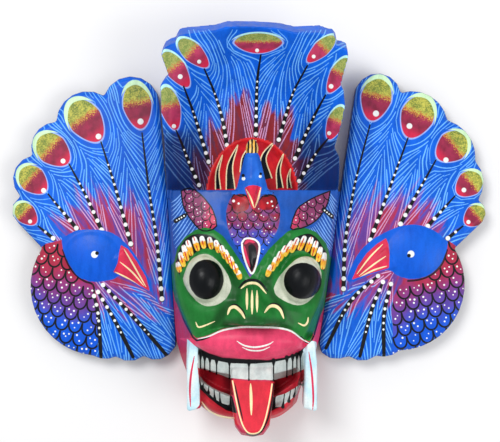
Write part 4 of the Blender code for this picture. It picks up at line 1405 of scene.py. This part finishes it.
def smallBirdMaterial():
    tree = Tree("smallBirdPaint")
    wobble = tree.unsteady(300, 0.5)
    colour = beakOver(tree, tree.cloudy("smallBird"), wobble)
    colour = tree.mix(tree.onStroke("birdEye", 0.12), colour, paints["white"])
    colour = tree.mix(tree.onStroke("birdPupil", 0.12), colour, paints["black"])
    return tree.finish(colour, tree.noise(500, 2))


def knobMaterial():
    tree = Tree("knobPaint")
    x = tree.split(tree.place())[0]
    stripe = tree.calculate("FRACT", tree.plus(tree.times(x, 380.0), tree.unsteady(200, 0.5)))
    yellow = tree.cloudy("knobYellow")
    colour = tree.mix(tree.ramp(stripe, 0.5, 0.58), yellow, paints["black"])
    return tree.finish(colour, tree.noise(500, 2))


surface = paintHead(head)
for makePaint in (faceMaterial, fanMaterial, domeMaterial, smallBirdMaterial, knobMaterial):
    head.data.materials.append(makePaint())
head.data.materials.append(backWood)

# Each face of the head takes the paint of the form that it lies on.
carving = dict(
    edgeY=0.0254,
    domeMiddle=(0.0021, 0.0224, 0.018),
    domeSize=(0.0335, 0.0415, 0.0265),
    birdHalf=0.0142,
    birdTop=0.0524,
    birdLow=0.0224,
    birdDepth=0.044,
    knobLow=0.0507,
    hollowMiddle=(0.00206, -0.0451, 0),
    hollowSize=(0.0421, 0.058, 0.0455),
    edgeMargin=0.0003,
    fanDepth=0.0585,
    fanLean=0.2,
    fanClear=0.004,
    domeReach=1.06,
    domeFloor=0.019,
    crownHeight=0.012,
    beakDrop=0.0035,
    beakDepth=0.0625,
    backDepth=0.03,
)
c = surface.centre
index = np.zeros(len(c), np.int32)
above = c[:, 1] - carving["edgeY"]
inFan = (above > carving["edgeMargin"]) & (c[:, 2] < carving["fanDepth"] + above * carving["fanLean"])
inFan |= above > carving["fanClear"]
index[inFan] = 1
away = (c - np.array(carving["domeMiddle"])) / np.array(carving["domeSize"])
inDome = ((away ** 2).sum(1) < carving["domeReach"]) & inFan & (surface.normal[:, 2] > -0.3)
inDome &= c[:, 2] > carving["domeFloor"]
index[inDome] = 2
x = np.abs(c[:, 0] - carving["domeMiddle"][0])
inBird = (x < carving["birdHalf"]) & (c[:, 2] > carving["birdDepth"])
inBird &= c[:, 1] < carving["birdTop"] + carving["crownHeight"]
inBird &= c[:, 1] > carving["birdLow"]
inBird &= above > -carving["beakDrop"] * (c[:, 2] > carving["beakDepth"])
index[inBird] = 3
index[inBird & (c[:, 1] > carving["knobLow"])] = 4
away = (c - np.array(carving["hollowMiddle"])) / np.array(carving["hollowSize"])
inHollow = ((away ** 2).sum(1) < 1) & (surface.normal[:, 2] < 0.3)
index[inHollow | ((surface.normal[:, 2] < -0.6) & (c[:, 2] < carving["backDepth"]))] = 5
head.data.polygons.foreach_set("material_index", index)

for piece, node, slotName in ((head, "mask_head", "head_paint"), (leftWing, "left_wing", "wing_paint"),
                              (rightWing, "right_wing", "wing_paint")):
    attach(piece, "root")
    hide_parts(node)
    print(piece.name, len(piece.data.polygons), "faces")

print("floor, light and camera")
studio = dict(floorSize=4.0, worldLight=0.6, lens=91.9, cameraAcross=0.0006, cameraUp=0.0038)
lights = dict(
    keyLight=dict(place=(-0.4, 0.5, 1.2), size=0.6, power=9.5),
    fillLight=dict(place=(0.8, -0.3, 1.0), size=0.8, power=5.0),
)
deselectAll()
bpy.ops.mesh.primitive_plane_add(size=studio["floorSize"], location=(0, 0, 0))
floor = bpy.context.active_object
floor.name = "floor"
floorTree = Tree("paleFloor")
floorColour = floorTree.mix(floorTree.noise(3, 2), paints["floorLight"], paints["floorDark"])
floorTree.links.new(floorColour, floorTree.shader.inputs["Base Color"])
floorTree.shader.inputs["Roughness"].default_value = 0.8
floor.data.materials.append(floorTree.material)


def softLight(name, place, size, power, aim=(0, 0, 0.03)):
    data = bpy.data.lights.new(name, "AREA")
    data.shape = "DISK"
    data.size = size
    data.energy = power
    lamp = bpy.data.objects.new(name, data)
    bpy.context.scene.collection.objects.link(lamp)
    lamp.location = place
    way = (np.array(aim) - np.array(place)).tolist()
    lamp.rotation_euler = Vector(way).to_track_quat("-Z", "Y").to_euler()


for lightName, light in lights.items():
    softLight(lightName, **light)
world = bpy.data.worlds.new("studioLight")
bpy.context.scene.world = world
world.use_nodes = True
sky = world.node_tree.nodes["Background"]
sky.inputs["Color"].default_value = (1, 1, 1, 1)
sky.inputs["Strength"].default_value = studio["worldLight"]
bpy.context.scene.view_settings.view_transform = "Standard"

cameraData = bpy.data.cameras.new("camera")
cameraData.lens = studio["lens"]
camera = bpy.data.objects.new("camera", cameraData)
bpy.context.scene.collection.objects.link(camera)
camera.location = (studio["cameraAcross"], studio["cameraUp"], sketch["eyeHeight"])
camera.rotation_euler = (0, 0, 0)
bpy.context.scene.camera = camera
